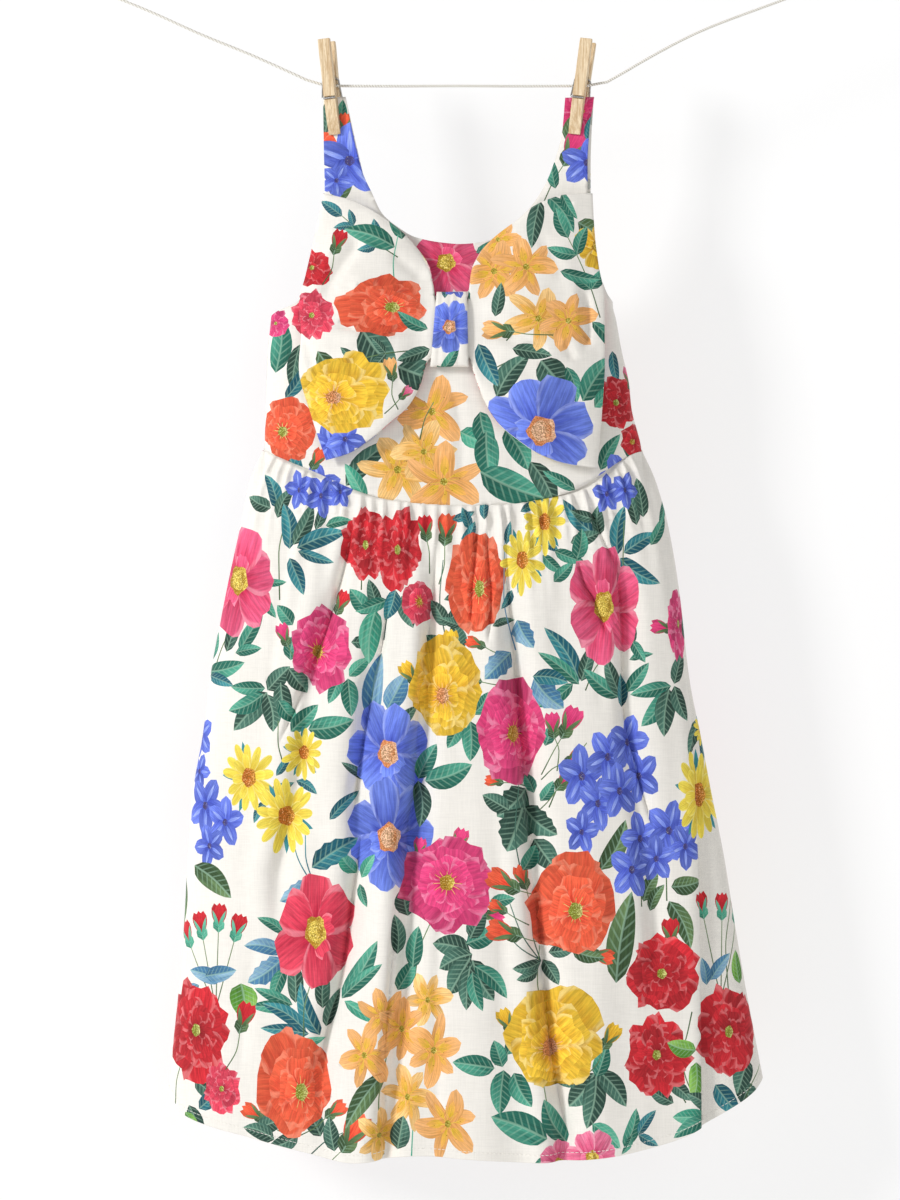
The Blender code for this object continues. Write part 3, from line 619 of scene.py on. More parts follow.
# Sharp creases of the skirt, which also have a thin slit along their floor
SLIT_DEEP = -2.6
SLIT_WIDE = 0.85
SHARP_CREASES = (
    (-3.7, 2.2, 4.2, (-15.0, -336.0), (-20.0, -403.0), (-28.0, -461.0), (-31.0, -526.0),
     (-36.0, -554.0), (-41.0, -620.0)),
    (-2.7, 2.2, 4.5, (-44.0, -610.0), (-50.0, -679.0), (-54.0, -736.0), (-53.0, -790.0)),
    (-3.7, 4.4, 2.2, (-49.0, -375.0), (-56.0, -422.0), (-64.0, -461.0), (-70.0, -490.0),
     (-76.0, -531.0), (-80.0, -565.0)),
    (-3.0, 2.2, 4.2, (-70.0, -550.0), (-80.0, -617.0), (-88.0, -674.0), (-100.0, -718.0),
     (-109.0, -756.0)),
    (-3.2, 2.0, 3.8, (-75.0, -322.0), (-86.0, -368.0), (-99.0, -412.0), (-109.0, -436.0),
     (-122.0, -471.0), (-136.0, -505.0)),
    (-2.7, 1.9, 3.0, (14.0, -330.0), (13.0, -358.0), (11.0, -381.0), (10.0, -412.0)),
    (-2.7, 1.9, 3.0, (22.0, -328.0), (23.0, -358.0), (25.0, -388.0), (23.0, -424.0)),
    (-3.8, 2.1, 4.2, (34.0, -328.0), (37.0, -370.0), (40.0, -400.0), (44.0, -445.0), (50.0, -516.0),
     (54.0, -554.0), (58.0, -606.0)),
    (-3.2, 2.1, 4.2, (56.0, -585.0), (62.0, -638.0), (68.0, -704.0), (75.0, -751.0), (86.0, -803.0)),
    (-3.2, 2.1, 4.0, (118.0, -344.0), (122.0, -377.0), (125.0, -418.0), (125.0, -460.0),
     (134.0, -508.0), (150.0, -570.0)),
    (-2.1, 2.0, 3.0, (89.0, -352.0), (94.0, -374.0), (103.0, -389.0), (112.0, -416.0)),
    (-2.1, 2.0, 3.0, (99.0, -318.0), (109.0, -342.0), (120.0, -366.0)),
)


# Folds die away at a panel's side by this power of the share across. The skirt leaves the bodice's line
# over a height below the waist, and its top edge turns in under the bodice
SIDE_POWER = 14
WAIST_BLEND = 12
TUCK_TURN = 1.6
TUCK_IN = 0.9
# Depth and half height of the dents along the stitching at the hem and along the waist seam
HEM_DENT = (0.3, 1.2)
SEAM_DENT = (0.5, 1.3)
# The trough of FOLDS_FRONT that the pleat stands for here
PLEAT_FOLD = 5


def dent(height, middle, size):
    deep, wide = size
    return deep * np.exp(-(((height - middle) / wide) ** 2))


def skirt_point(flat, side, inset=0.0):
    """Places of the skirt's shell, at points of its flat cloth."""
    across = from_flat(flat, SKIRT_SIDES, side)
    height = flat[:, 1]
    place, out = oval(across, height, SKIRT_SIDES, side)
    top = waist_height(across, side)
    below = np.clip(top - height, 0, None)
    if side < 0:
        proud = gathers(across, below, GATHERS_FRONT)
        proud += folds(place, FOLDS_FRONT[:PLEAT_FOLD] + FOLDS_FRONT[PLEAT_FOLD + 1 :])
    else:
        proud = gathers(across, below, GATHERS_BACK)
        proud += folds(place, FOLDS_BACK)
    proud += ripple(place[:, 0], height, 5 + side, 0.35) * smooth(below / 60)
    if side < 0:
        proud += creases(place[:, 0], height, SOFT_CREASES + SHARP_CREASES) + pleat(place)
        slits = [(SLIT_DEEP, SLIT_WIDE, SLIT_WIDE, *crease[3:]) for crease in SHARP_CREASES]
        proud += creases(place[:, 0], height, slits)
    proud -= dent(height - foot_height(across, side), HEM_STITCH, HEM_DENT)
    proud = proud * (1 - np.abs(across) ** SIDE_POWER)
    middle, half, depth = section(height, BODICE_SIDES, side)
    rest = bulge(np.clip(np.abs(place[:, 0] - middle) / half, 0, 1))
    place[:, 1] += (side * depth * rest - place[:, 1]) * np.exp(-below / WAIST_BLEND)
    tucked = smooth((height - top) / TUCK_TURN)
    place += out * ((WALL + proud) * (1 - tucked) - TUCK_IN * tucked - inset)[:, None]
    return place


# Creases of the bodice, as in creases()
BODICE_CREASES = (
    (-1.3, 2.5, 5.0, (-13.5, -214.0), (-4.5, -232.0), (1.5, -253.5), (3.0, -282.0), (4.0, -311.0)),
    (0.9, 6.0, 3.0, (-20.0, -222.0), (-12.0, -240.0), (-6.0, -262.0), (-5.0, -300.0)),
    (-0.7, 3.0, 5.0, (40.0, -282.0), (42.0, -296.0), (40.0, -310.0)),
    (-0.7, 3.0, 5.0, (-62.0, -284.0), (-60.0, -296.0), (-58.0, -308.0)),
    (0.9, 5.0, 5.0, (-132.0, -190.0), (-128.0, -225.0), (-132.0, -262.0)),
    (-0.9, 3.0, 5.0, (124.0, -188.0), (122.0, -220.0), (126.0, -258.0)),
    (0.6, 3.0, 3.0, (-92.0, -50.0), (-90.0, -68.0), (-93.0, -84.0)),
    (-0.6, 2.0, 3.0, (90.0, -44.0), (92.0, -60.0), (90.0, -82.0)),
)
BACK_CREASES = (
    (-1.2, 3.0, 5.0, (-52.0, -150.0), (-44.0, -200.0), (-40.0, -262.0)),
    (-1.2, 5.0, 3.0, (50.0, -146.0), (44.0, -200.0), (42.0, -262.0)),
    (0.9, 8.0, 8.0, (-6.0, -160.0), (-2.0, -210.0), (-4.0, -270.0)),
    (-0.8, 3.0, 4.0, (-118.0, -186.0), (-108.0, -220.0), (-110.0, -262.0)),
    (-0.8, 3.0, 4.0, (112.0, -180.0), (104.0, -220.0), (108.0, -262.0)),
)
# The strap's cut end under the line, and the height over which it is rounded
STRAP_TOP = -8.5
STRAP_ROUND = 1.7


def bodice_point(flat, side):
    """Places of the bodice's shell, at points of its flat cloth."""
    across = from_flat(flat, BODICE_SIDES, side)
    height = flat[:, 1]
    place, out = oval(across, height, BODICE_SIDES, side)
    proud = creases(place[:, 0], height, BODICE_CREASES if side < 0 else BACK_CREASES)
    proud += ripple(place[:, 0], height, 11 + side, 0.22) * smooth((-70.0 - height) / 60)
    proud -= dent(height, waist_height(across, side), SEAM_DENT)
    proud *= 1 - np.abs(across) ** SIDE_POWER
    place += out * (WALL + proud)[:, None]
    over = np.clip((height - STRAP_TOP + STRAP_ROUND) / STRAP_ROUND, 0, 1)
    place[:, 1] *= np.sqrt(1 - over**2)
    return twisted(place)


def bodice_face(x, height):
    """The outer face of the bodice front behind a place on the bow."""
    middle, half, _ = section(height, BODICE_SIDES, -1)
    across = np.clip((x - middle) / half, -0.86, 0.86)
    place, out = oval(across, height, BODICE_SIDES, -1)
    return (place + WALL * out)[..., 1] - SEAM / 2


# The bow's creases, as in creases()
BOW_CREASES_LEFT = (
    (-3.8, 7.0, 3.0, (-70.0, -118.0), (-84.0, -138.0), (-101.0, -164.0)),
    (2.1, 9.0, 9.0, (-82.0, -112.0), (-96.0, -132.0), (-108.0, -152.0)),
    (-4.0, 2.6, 4.5, (-20.0, -184.5), (-48.0, -186.5), (-96.0, -184.0)),
    (2.0, 6.0, 6.0, (-22.0, -172.0), (-52.0, -160.0), (-82.0, -150.0)),
    (-3.3, 3.0, 3.5, (-116.0, -190.0), (-112.0, -202.0), (-107.0, -216.0)),
    (1.7, 7.0, 7.0, (-30.0, -204.0), (-62.0, -216.0), (-92.0, -238.0)),
    (-2.0, 4.0, 4.0, (-24.0, -150.0), (-36.0, -140.0), (-50.0, -128.0)),
    (-2.0, 4.0, 4.0, (-22.0, -200.0), (-34.0, -214.0), (-50.0, -232.0)),
    (-1.5, 4.0, 6.0, (-72.0, -196.0), (-84.0, -226.0), (-92.0, -262.0)),
)
BOW_CREASES_RIGHT = (
    (-3.6, 4.0, 3.0, (91.5, -153.0), (97.5, -169.0), (98.0, -189.0), (96.5, -203.0)),
    (1.8, 7.0, 5.0, (84.0, -140.0), (89.0, -165.0), (88.0, -196.0)),
    (-2.6, 3.0, 3.0, (80.0, -197.0), (84.0, -203.0), (88.0, -209.0)),
    (-3.8, 4.5, 2.6, (18.0, -186.0), (44.0, -194.5), (70.0, -204.0)),
    (2.0, 7.0, 7.0, (12.0, -170.0), (44.0, -166.0), (74.0, -158.0)),
    (1.7, 7.0, 7.0, (22.0, -208.0), (48.0, -228.0), (78.0, -250.0)),
    (-2.0, 4.0, 4.0, (14.0, -150.0), (28.0, -138.0), (46.0, -124.0)),
    (-2.0, 4.0, 4.0, (14.0, -206.0), (24.0, -222.0), (40.0, -240.0)),
    (-1.5, 5.0, 5.0, (58.0, -112.0), (72.0, -132.0), (80.0, -152.0)),
)


# The share of the way out over which creases start from the knot, the deepest that one goes as a share
# of the layer's puff, and how an edge turns in: over what width, in front and behind
CREASE_START = 9
CREASE_LIMIT = -1.3
EDGE_TURN = 2.6
EDGE_IN = (1.5, -1.0)


def bow_point(flat, edges, table, front):
    """A bow loop's front or back layer, at places seen from the front."""
    x, height = flat[:, 0], flat[:, 1]
    knot = edges["top"][-1][0]
    fold = read(edges["outer"], height, 0, key=1)
    out = np.clip((knot - x) / (knot - fold), 0, 1)
    lift = through(out, column(BOW_PUFF, 0), column(BOW_PUFF, 1))
    gap = through(out, column(BOW_PUFF, 0), column(BOW_PUFF, 2))
    layer = gap * np.sqrt(np.clip(1 - out**8, 0, 1))
    y = bodice_face(x, height) - lift + (-layer if front else layer)
    if front:
        fade = np.clip((1 - out) * CREASE_START, 0, 1)
        y -= np.maximum(creases(x, height, table) * fade, CREASE_LIMIT * layer)
        y -= ripple(x, height, 31, 0.3, 0.7) * fade
    top = read(edges["top"], x, 1)
    bottom = read(edges["bottom"], x, 1)
    near = np.minimum(top - height, height - bottom)
    turn = np.exp(-((np.clip(near, 0, None) / EDGE_TURN) ** 2)) * np.clip((1 - out) * 12, 0, 1)
    y += turn * EDGE_IN[0 if front else 1]
    return np.stack([x, y, height], -1)


# Half the knot band's width, and the steps in which its length is worked out
KNOT_WIDE = 14.0
KNOT_STEPS = 400


def knot_table():
    """Turn round the knot's section against the length along it, from the middle of its front."""
    turn = np.linspace(-math.pi, math.pi, KNOT_STEPS)
    place = knot_ring(turn + math.pi, np.zeros_like(turn))
    length = np.concatenate([[0.0], np.cumsum(np.linalg.norm(np.diff(place, axis=0), axis=1))])
    return turn, length - length[KNOT_STEPS // 2]


def knot_ring(turn, across):
    """A point of the knot, a band that goes round the pinched middle of the bow."""
    middle = (KNOT_TOP + KNOT_FOOT) / 2
    tall = np.sign(np.sin(turn)) * np.abs(np.sin(turn)) ** 0.8
    height = middle + (KNOT_TOP - KNOT_FOOT) / 2 * tall
    deep = np.sign(np.cos(turn)) * np.abs(np.cos(turn)) ** 0.7
    down = (KNOT_TOP - height) / (KNOT_TOP - KNOT_FOOT)
    left = KNOT_LEFT[0] + (KNOT_LEFT[1] - KNOT_LEFT[0]) * down
    right = KNOT_RIGHT[0] + (KNOT_RIGHT[1] - KNOT_RIGHT[0]) * down
    x = (left + right) / 2 + (right - left) / 2 * across
    middle_x = np.full_like(height, (KNOT_LEFT[0] + KNOT_RIGHT[1]) / 2)
    back = bodice_face(middle_x, height) - KNOT_OFF_BODICE - KNOT_HALF_DEPTH
    y = back + KNOT_HALF_DEPTH * deep * (1 + 0.12 * (1 - across**2) * (deep < 0))
    return np.stack([x, y, height], -1)


KNOT_TURNS, KNOT_LENGTHS = knot_table()
# Folds of the knot: place across, how far it stands out, width and slant
KNOT_FOLDS = (
    (-0.62, -0.9, 0.13, 0.05), (-0.12, -0.8, 0.12, -0.12), (0.42, -1.0, 0.12, 0.1), (0.12, 0.5, 0.2, 0.1),
)


def knot_point(flat):
    """Places of the knot's band, at points of its flat cloth."""
    turn = np.interp(-flat[:, 1], KNOT_LENGTHS, KNOT_TURNS)
    across = flat[:, 0] / KNOT_WIDE
    place = knot_ring(turn + math.pi, across)
    front = np.clip(np.cos(turn), 0, 1)
    lean = -flat[:, 1] / 60
    dent = np.zeros_like(across)
    for where, proud, width, slant in KNOT_FOLDS:
        dent += proud * np.exp(-(((across - where - slant * lean) / width) ** 2))
    rolled = 1.1 * np.clip(np.abs(across) - 0.72, 0, 1) ** 2 / 0.08
    place[:, 1] -= (dent - rolled) * front
    return place


def paint(code):
    """Linear colour of a hex colour."""
    parts = [int(code[k : k + 2], 16) / 255 for k in (0, 2, 4)]
    return np.array([p / 12.92 if p <= 0.04045 else ((p + 0.055) / 1.055) ** 2.4 for p in parts])


def tones(codes):
    return tuple(paint(code) for code in codes)


IVORY = paint("ece8e0")

# Palettes: near the middle, near the tip, along the rim
PETALS = {
    "red": ("a3121f", "cf2a34", "e98a8c"),
    "crimson": ("bb1c3c", "e2485f", "f09aa6"),
    "coral": ("cf3a26", "ec6342", "f59a7c"),
    "hot": ("c41f60", "e2487f", "f09ab8"),
    "magenta": ("c9264f", "e65d84", "f3a3b4"),
    "yellow": ("c98a14", "efc33a", "f8e39a"),
    "cream": ("dba63a", "f3d98a", "fbf0c4"),
    "daisy": ("dcb22a", "f1dc56", "f8ee9c"),
    "peach": ("dc9a4c", "f4b878", "fad6a8"),
    "apricot": ("d89c42", "f6cb88", "fbe6bd"),
    "blue": ("3f50b8", "6f86e2", "a9b6f0"),
    "bell": ("4252ba", "6c80de", "98a8ee"),
    "pink": ("cc3a6a", "ea7f9f", "f5bccb"),
}
LEAVES = {
    "teal": ("27705f", "55a88f", "22665a"),
    "dark": ("2f4f44", "4f7c6c", "24443c"),
    "blueteal": ("1d5f70", "3f929a", "184e60"),
    "olive": ("3f5a38", "6d8a5a", "32482c"),
    "lime": ("5c9636", "97c864", "4a7c2c"),
    "mint": ("3f9f84", "74c4a6", "35806c"),
    "blue": ("4a7fa6", "8fb4cc", "3c6a8e"),
}
STAMENS = {
    "gold": ("b98a1e", "efd25a"),
    "green": ("8fa23a", "dfe08a"),
    "pale": ("e08a5a", "f3c0a0"),
    "orange": ("d06a1c", "f2a83e"),
}


def turned(angle):
    return np.array([math.cos(angle), math.sin(angle)])


class Print:
    """The shapes printed on one panel, in flat millimetres and in painting order."""

    def __init__(self, seed):
        self.shapes = []
        self.dice = random.Random(seed)
        # None, or a centre and how much narrower and shorter the shapes round it are
        self.squeeze = None

    def shuffled(self, count):
        order = list(range(count))
        self.dice.shuffle(order)
        return order

    def shape(self, outline, base, tip, half, colours, bend=0.0, leaf=0.0, dots=0.0, petal=0.0):
        """One shape. base and tip are the ends of its own axis, half its half width."""
        outline, base, tip = (np.array(part, float) for part in (outline, base, tip))
        if self.squeeze is not None:
            centre, share = self.squeeze
            long = np.linalg.norm(tip - base)
            outline, base, tip = (centre + (part - centre) * share for part in (outline, base, tip))
            half = half * share[0] * share[1] * long / np.linalg.norm(tip - base)
        self.shapes.append({
            "outline": outline,
            "base": base,
            "axis": tip - base,
            "half": half,
            "bend": bend,
            "colours": tuple(colours),
            "leaf": leaf,
            "dots": dots,
            "petal": petal,
            "seed": self.dice.uniform(0, 60),
        })

    def petal(self, at, angle, length, width, colours, notch=0.07, ruffle=0.035, low=0.55):
        """A broad petal from its base at a point."""
        count = int(np.clip(length * 0.8 + width * 0.3, 8, 18))
        t = np.linspace(0, 2 * math.pi, count, endpoint=False)
        s = 0.5 - 0.5 * np.cos(t)
        wide = np.sin(t) * s**low
        wide *= 0.5 * width / np.abs(wide).max()
        s = s * (1 - notch * np.exp(-(((t - math.pi) / 0.32) ** 2)))
        a, b = self.dice.uniform(0, 6), self.dice.uniform(0, 6)
        wave = 1 + ruffle * s * (np.sin(5 * t + a) + 0.7 * np.sin(8 * t + b))
        ahead, beside = turned(angle), turned(angle + math.pi / 2)
        points = np.array(at) + np.outer(length * s * wave, ahead) + np.outer(wide * wave, beside)
        tip = np.array(at) + ahead * length
        self.shape(points, at, tip, width / 2, colours, petal=1.0)

    def blade(
        self, at, angle, length, width, colours, bend=0.0,
        shares=(0.62, 0.8), leaf=0.0, teeth=0.0, halves=None,
    ):
        """A pointed petal or a leaf. bend is how far its middle line bows, and halves darkens one side."""
        count = int(np.clip(length / 3.2, 4, 9))
        s = np.linspace(0, 1, count + 1)
        low, high = shares
        wide = s**low * (1 - s) ** high
        wide *= 0.5 * width / wide.max()
        if teeth:
            wide[1:-1] *= 1 + teeth * np.where(np.arange(1, count) % 2 == 0, 1, -1)
        ahead, beside = turned(angle), turned(angle + math.pi / 2)
        middle = np.array(at) + np.outer(s * length, ahead) + np.outer(bend * np.sin(math.pi * s), beside)
        left, right = middle + np.outer(wide, beside), middle - np.outer(wide, beside)
        tip = np.array(at) + ahead * length
        outline = np.concatenate([right, left[-2:0:-1]])
        self.shape(outline, at, tip, width / 2, colours, bend, leaf)
        if halves is not None:
            shaded = np.concatenate([middle, (middle + np.outer(wide * 0.98, beside * halves[1]))[-2:0:-1]])
            self.shape(shaded, at, tip, width / 2, halves[0], bend, leaf)

    def stem(self, points, width, colour):
        """A thin stalk along a curve."""
        route = every(points, 4.0)
        way = np.gradient(route, axis=0)
        beside = np.stack([-way[:, 1], way[:, 0]], -1) / np.linalg.norm(way, axis=1, keepdims=True)
        taper = np.linspace(1.0, 0.7, len(route))[:, None] * width / 2
        outline = np.concatenate([route + beside * taper, (route - beside * taper)[::-1]])
        self.shape(outline, route[0], route[-1], width, tones(LEAVES[colour]))

    def disc(self, at, radius, colours, dots=1.0, rough=0.08):
        count = 16 if radius > 2.5 else 10
        t = np.linspace(0, 2 * math.pi, count, endpoint=False)
        wave = radius * (1 + rough * np.sin(5 * t + self.dice.uniform(0, 6)))
        points = np.array(at) + np.stack([wave * np.cos(t), wave * np.sin(t)], -1)
        a, b = colours
        self.shape(points, at, np.array(at) + (radius, 0), radius, (a, b, a), dots=dots)

    def stamens(self, at, reach, colours, count=9, width=0.55):
        """Fine threads with a bead at the end of each."""
        for k in range(count):
            angle = 2 * math.pi * (k + self.dice.uniform(-0.3, 0.3)) / count
            far = reach * self.dice.uniform(0.7, 1.15)
            end = np.array(at) + turned(angle) * far
            side = turned(angle + math.pi / 2) * width / 2
            thread = [at - side, at + side, end + side * 0.6, end - side * 0.6]
            self.shape(thread, at, end, width, [colours[1]] * 3)
            bead = [end + turned(a) * width * 0.9 for a in (0.3, 1.9, 3.4, 5.0)]
            self.shape(bead, end, end + (1, 0), width, [colours[0]] * 3)

    def leaf(self, at, angle, length, width, kind, bend=None, teeth=0.0, mirror=1):
        colours = tones(LEAVES[kind])
        if bend is None:
            bend = length * self.dice.uniform(-0.09, 0.09)
        shade = (colours[0] * 0.6, colours[0] * 1.05, colours[2])
        self.blade(at, angle, length, width, colours, bend, (0.6, 0.85), 1.0, teeth, (shade, mirror))

    def spray(self, at, angle, length, kind, pairs, size=0.36, slim=0.42, curve=0.12):
        """A stalk with leaves in pairs and one at its tip."""
        ahead, beside = turned(angle), turned(angle + math.pi / 2)
        curve *= self.dice.choice((-1, 1))

        def on_stalk(share):
            return np.array(at) + ahead * length * share + beside * length * curve * share * share

        self.stem([on_stalk(share) for share in (0, 0.35, 0.7, 1)], 0.9, "olive")
        for k in range(pairs):
            share = (k + 0.8) / (pairs + 0.3)
            for way in (1, -1):
                turn = angle + way * self.dice.uniform(0.65, 1.0) + curve * share
                long = length * size * self.dice.uniform(0.8, 1.15) * (1.1 - 0.25 * share)
                self.leaf(on_stalk(share), turn, long, long * slim, kind, mirror=way)
        long = length * size * 1.1
        self.leaf(on_stalk(1), angle + curve, long, long * slim, kind)

    def colours(self, name, light=1.0):
        shift = 1 + self.dice.uniform(-0.1, 0.1)
        inner, outer, rim = tones(PETALS[name])
        return np.clip(inner * shift * light, 0, 1), np.clip(outer * shift * light, 0, 1), rim

    def rose(self, at, size, name, middle="gold", tilt=(0.0, 0.0), turn=0.0):
        """An open garden rose, of layers of broad petals round its stamens."""
        at = np.array(at, float)
        tilt = np.array(tilt) * size
        layers = ((0.0, 6, 0.50, 0.56), (0.35, 5, 0.39, 0.47), (0.75, 5, 0.29, 0.38), (1.0, 4, 0.19, 0.27))
        if size < 36:
            layers = (layers[0], layers[2])
        for share, count, long, wide in layers:
            start = turn + self.dice.uniform(0, 1.2)
            middle_at = at + tilt * share
            for k in self.shuffled(count):
                angle = start + 2 * math.pi * k / count + self.dice.uniform(-0.12, 0.12)
                nearer = float(np.dot(turned(angle), -tilt / size))
                grown = self.dice.uniform(0.9, 1.1) * (1 + 1.2 * nearer)
                root = middle_at + turned(angle) * size * 0.03
                light = 0.84 + 0.26 * share + self.dice.uniform(-0.06, 0.06)
                colours = self.colours(name, light)
                self.petal(root, angle, size * long * grown, size * wide, colours, 0.09, 0.05, 0.62)
        heart = at + tilt
        radius = max(1.6, size * 0.085)
        if size > 30:
            self.stamens(heart, radius * 1.7, tones(STAMENS[middle]), 12, 0.5)
        self.disc(heart, radius, tones(STAMENS[middle]))

    def cabbage(self, at, size, name, turn=0.0):
        """A full rose whose petals close over one another to the middle."""
        at = np.array(at, float)
        layers = ((7, 0.50, 0.46), (6, 0.40, 0.40), (6, 0.31, 0.34), (5, 0.22, 0.27), (4, 0.14, 0.19))
        for level, (count, long, wide) in enumerate(layers if size > 34 else layers[::2]):
            start = turn + self.dice.uniform(0, 1.2)
            for k in self.shuffled(count):
                angle = start + 2 * math.pi * k / count + self.dice.uniform(-0.15, 0.15)
                light = self.dice.uniform(0.72, 1.12) - 0.03 * level
                grown = self.dice.uniform(0.88, 1.1)
                colours = self.colours(name, light)
                self.petal(at, angle, size * long * grown, size * wide, colours, 0.12, 0.07, 0.7)
        self.disc(at, max(1.2, size * 0.06), tones(STAMENS["green"]))

    def open_flower(self, at, size, name, petals=6, middle="gold", width=0.42, turn=0.0):
        """Separate broad petals round a large middle, with a few small curled ones."""
        at = np.array(at, float)
        for k in self.shuffled(petals):
            angle = turn + 2 * math.pi * k / petals + self.dice.uniform(-0.12, 0.12)
            grown = self.dice.uniform(0.92, 1.1)
            colours = self.colours(name, self.dice.uniform(0.85, 1.12))
            self.petal(at, angle, size * 0.52 * grown, size * width, colours, 0.06, 0.03, 0.5)
        for k in range(2):
            angle = turn + self.dice.uniform(0, 6.3)
            self.petal(at, angle, size * 0.25, size * 0.2, self.colours(name, 1.15), 0.1, 0.06, 0.7)
        dark, light = tones(STAMENS[middle])
        radius = size * 0.12
        self.disc(at, radius * 1.12, (dark, light), 0.7, 0.12)
        self.disc(at, radius * 0.8, (light, dark), 1.0, 0.05)

    def daisy(self, at, size, name="daisy", turn=0.0):
        at = np.array(at, float)
        for k in range(5):
            angle = turn + 0.4 + 2 * math.pi * k / 5
            self.blade(at, angle, size * 0.5, size * 0.12, tones(LEAVES["blueteal"]))
        for ring, count in ((1.0, 13), (0.66, 8)):
            for k in range(count):
                angle = turn + 2 * math.pi * (k + self.dice.uniform(-0.2, 0.2)) / count
                long = size * 0.5 * ring * self.dice.uniform(0.88, 1.08)
                colours = self.colours(name, self.dice.uniform(0.86, 1.08))
                self.petal(at, angle, long, size * 0.14, colours, 0.0, 0.0, 0.5)
        self.disc(at, size * 0.13, tones(STAMENS["orange"]), 1.0)

    def lily(self, at, size, name="peach", turn=0.0):
        """Six pointed petals, three broad and three narrow, with long stamens."""
        at = np.array(at, float)
        for step, wide, light in ((0, 0.21, 0.92), (1, 0.29, 1.05)):
            for k in range(3):
                angle = turn + 2 * math.pi * (k + step / 2) / 3 + self.dice.uniform(-0.15, 0.15)
                long = size * 0.52 * self.dice.uniform(0.9, 1.12)
                colours = self.colours(name, light)
                bend = long * self.dice.uniform(-0.1, 0.1)
                self.blade(at, angle, long, size * wide, colours, bend, (0.45, 0.5))
                streak = at + turned(angle) * size * 0.08
                warm = tones(("d9b02e", "f0b25a", "d9b02e"))
                self.blade(streak, angle, long * 0.5, size * wide * 0.4, warm, 0.0, (0.5, 0.7))
        self.stamens(at, size * 0.22, tones(("a0601c", "e6c64a")), 8, 0.5)
        self.disc(at, size * 0.05, tones(("a9a02e", "e0c84a")), 1.0)

    def bell(self, at, size, name="bell", turn=0.0):
        """A star-shaped bell, seen into."""
        at = np.array(at, float)
        for k in range(5):
            angle = turn + 2 * math.pi * k / 5 + self.dice.uniform(-0.1, 0.1)
            colours = self.colours(name, self.dice.uniform(0.82, 1.15))
            self.blade(at, angle, size * 0.53, size * 0.36, colours, 0.0, (0.42, 0.5))
            light = tones(("5f78de", "a3b4f2", "5f78de"))
            streak = at + turned(angle) * size * 0.07
            self.blade(streak, angle, size * 0.36, size * 0.07, light, 0.0, (0.5, 0.8))
        self.disc(at, size * 0.07, tones(("1f2c80", "3a4cb4")), 0.6)

    def bud(self, at, angle, size, name, green="olive", stalk=1.2):
        """A closed bud on its calyx, with thin sepals and a stalk behind it."""
        at = np.array(at, float)
        ahead = turned(angle)
        if stalk:
            side = turned(angle + math.pi / 2) * self.dice.uniform(-0.3, 0.3) * size
            foot = at - ahead * size * (0.3 + stalk)
            bowed = at - ahead * size * 0.8 + side * 0.5
            self.stem([foot, bowed, at - ahead * size * 0.25], 0.9, green)
        self.leaf(at - ahead * size * 0.38, angle, size * 0.62, size * 0.42, green, 0.0)
        for turn, light in ((0.28, 0.85), (-0.26, 0.95), (0.0, 1.12)):
            colours = self.colours(name, light)
            root = at - ahead * size * 0.1
            self.blade(root, angle + turn, size * 0.72, size * 0.34, colours, 0.0, (0.5, 0.55))
        for turn in (0.42, -0.4):
            self.blade(at - ahead * size * 0.2, angle + turn, size * 0.62, size * 0.12, tones(LEAVES[green]))


def spot(px, py):
    """Where a place of the photograph lies, sideways and in height."""
    return (px - ORIGIN_PIXEL[0]) * SCALE, (ORIGIN_PIXEL[1] - py) * SCALE


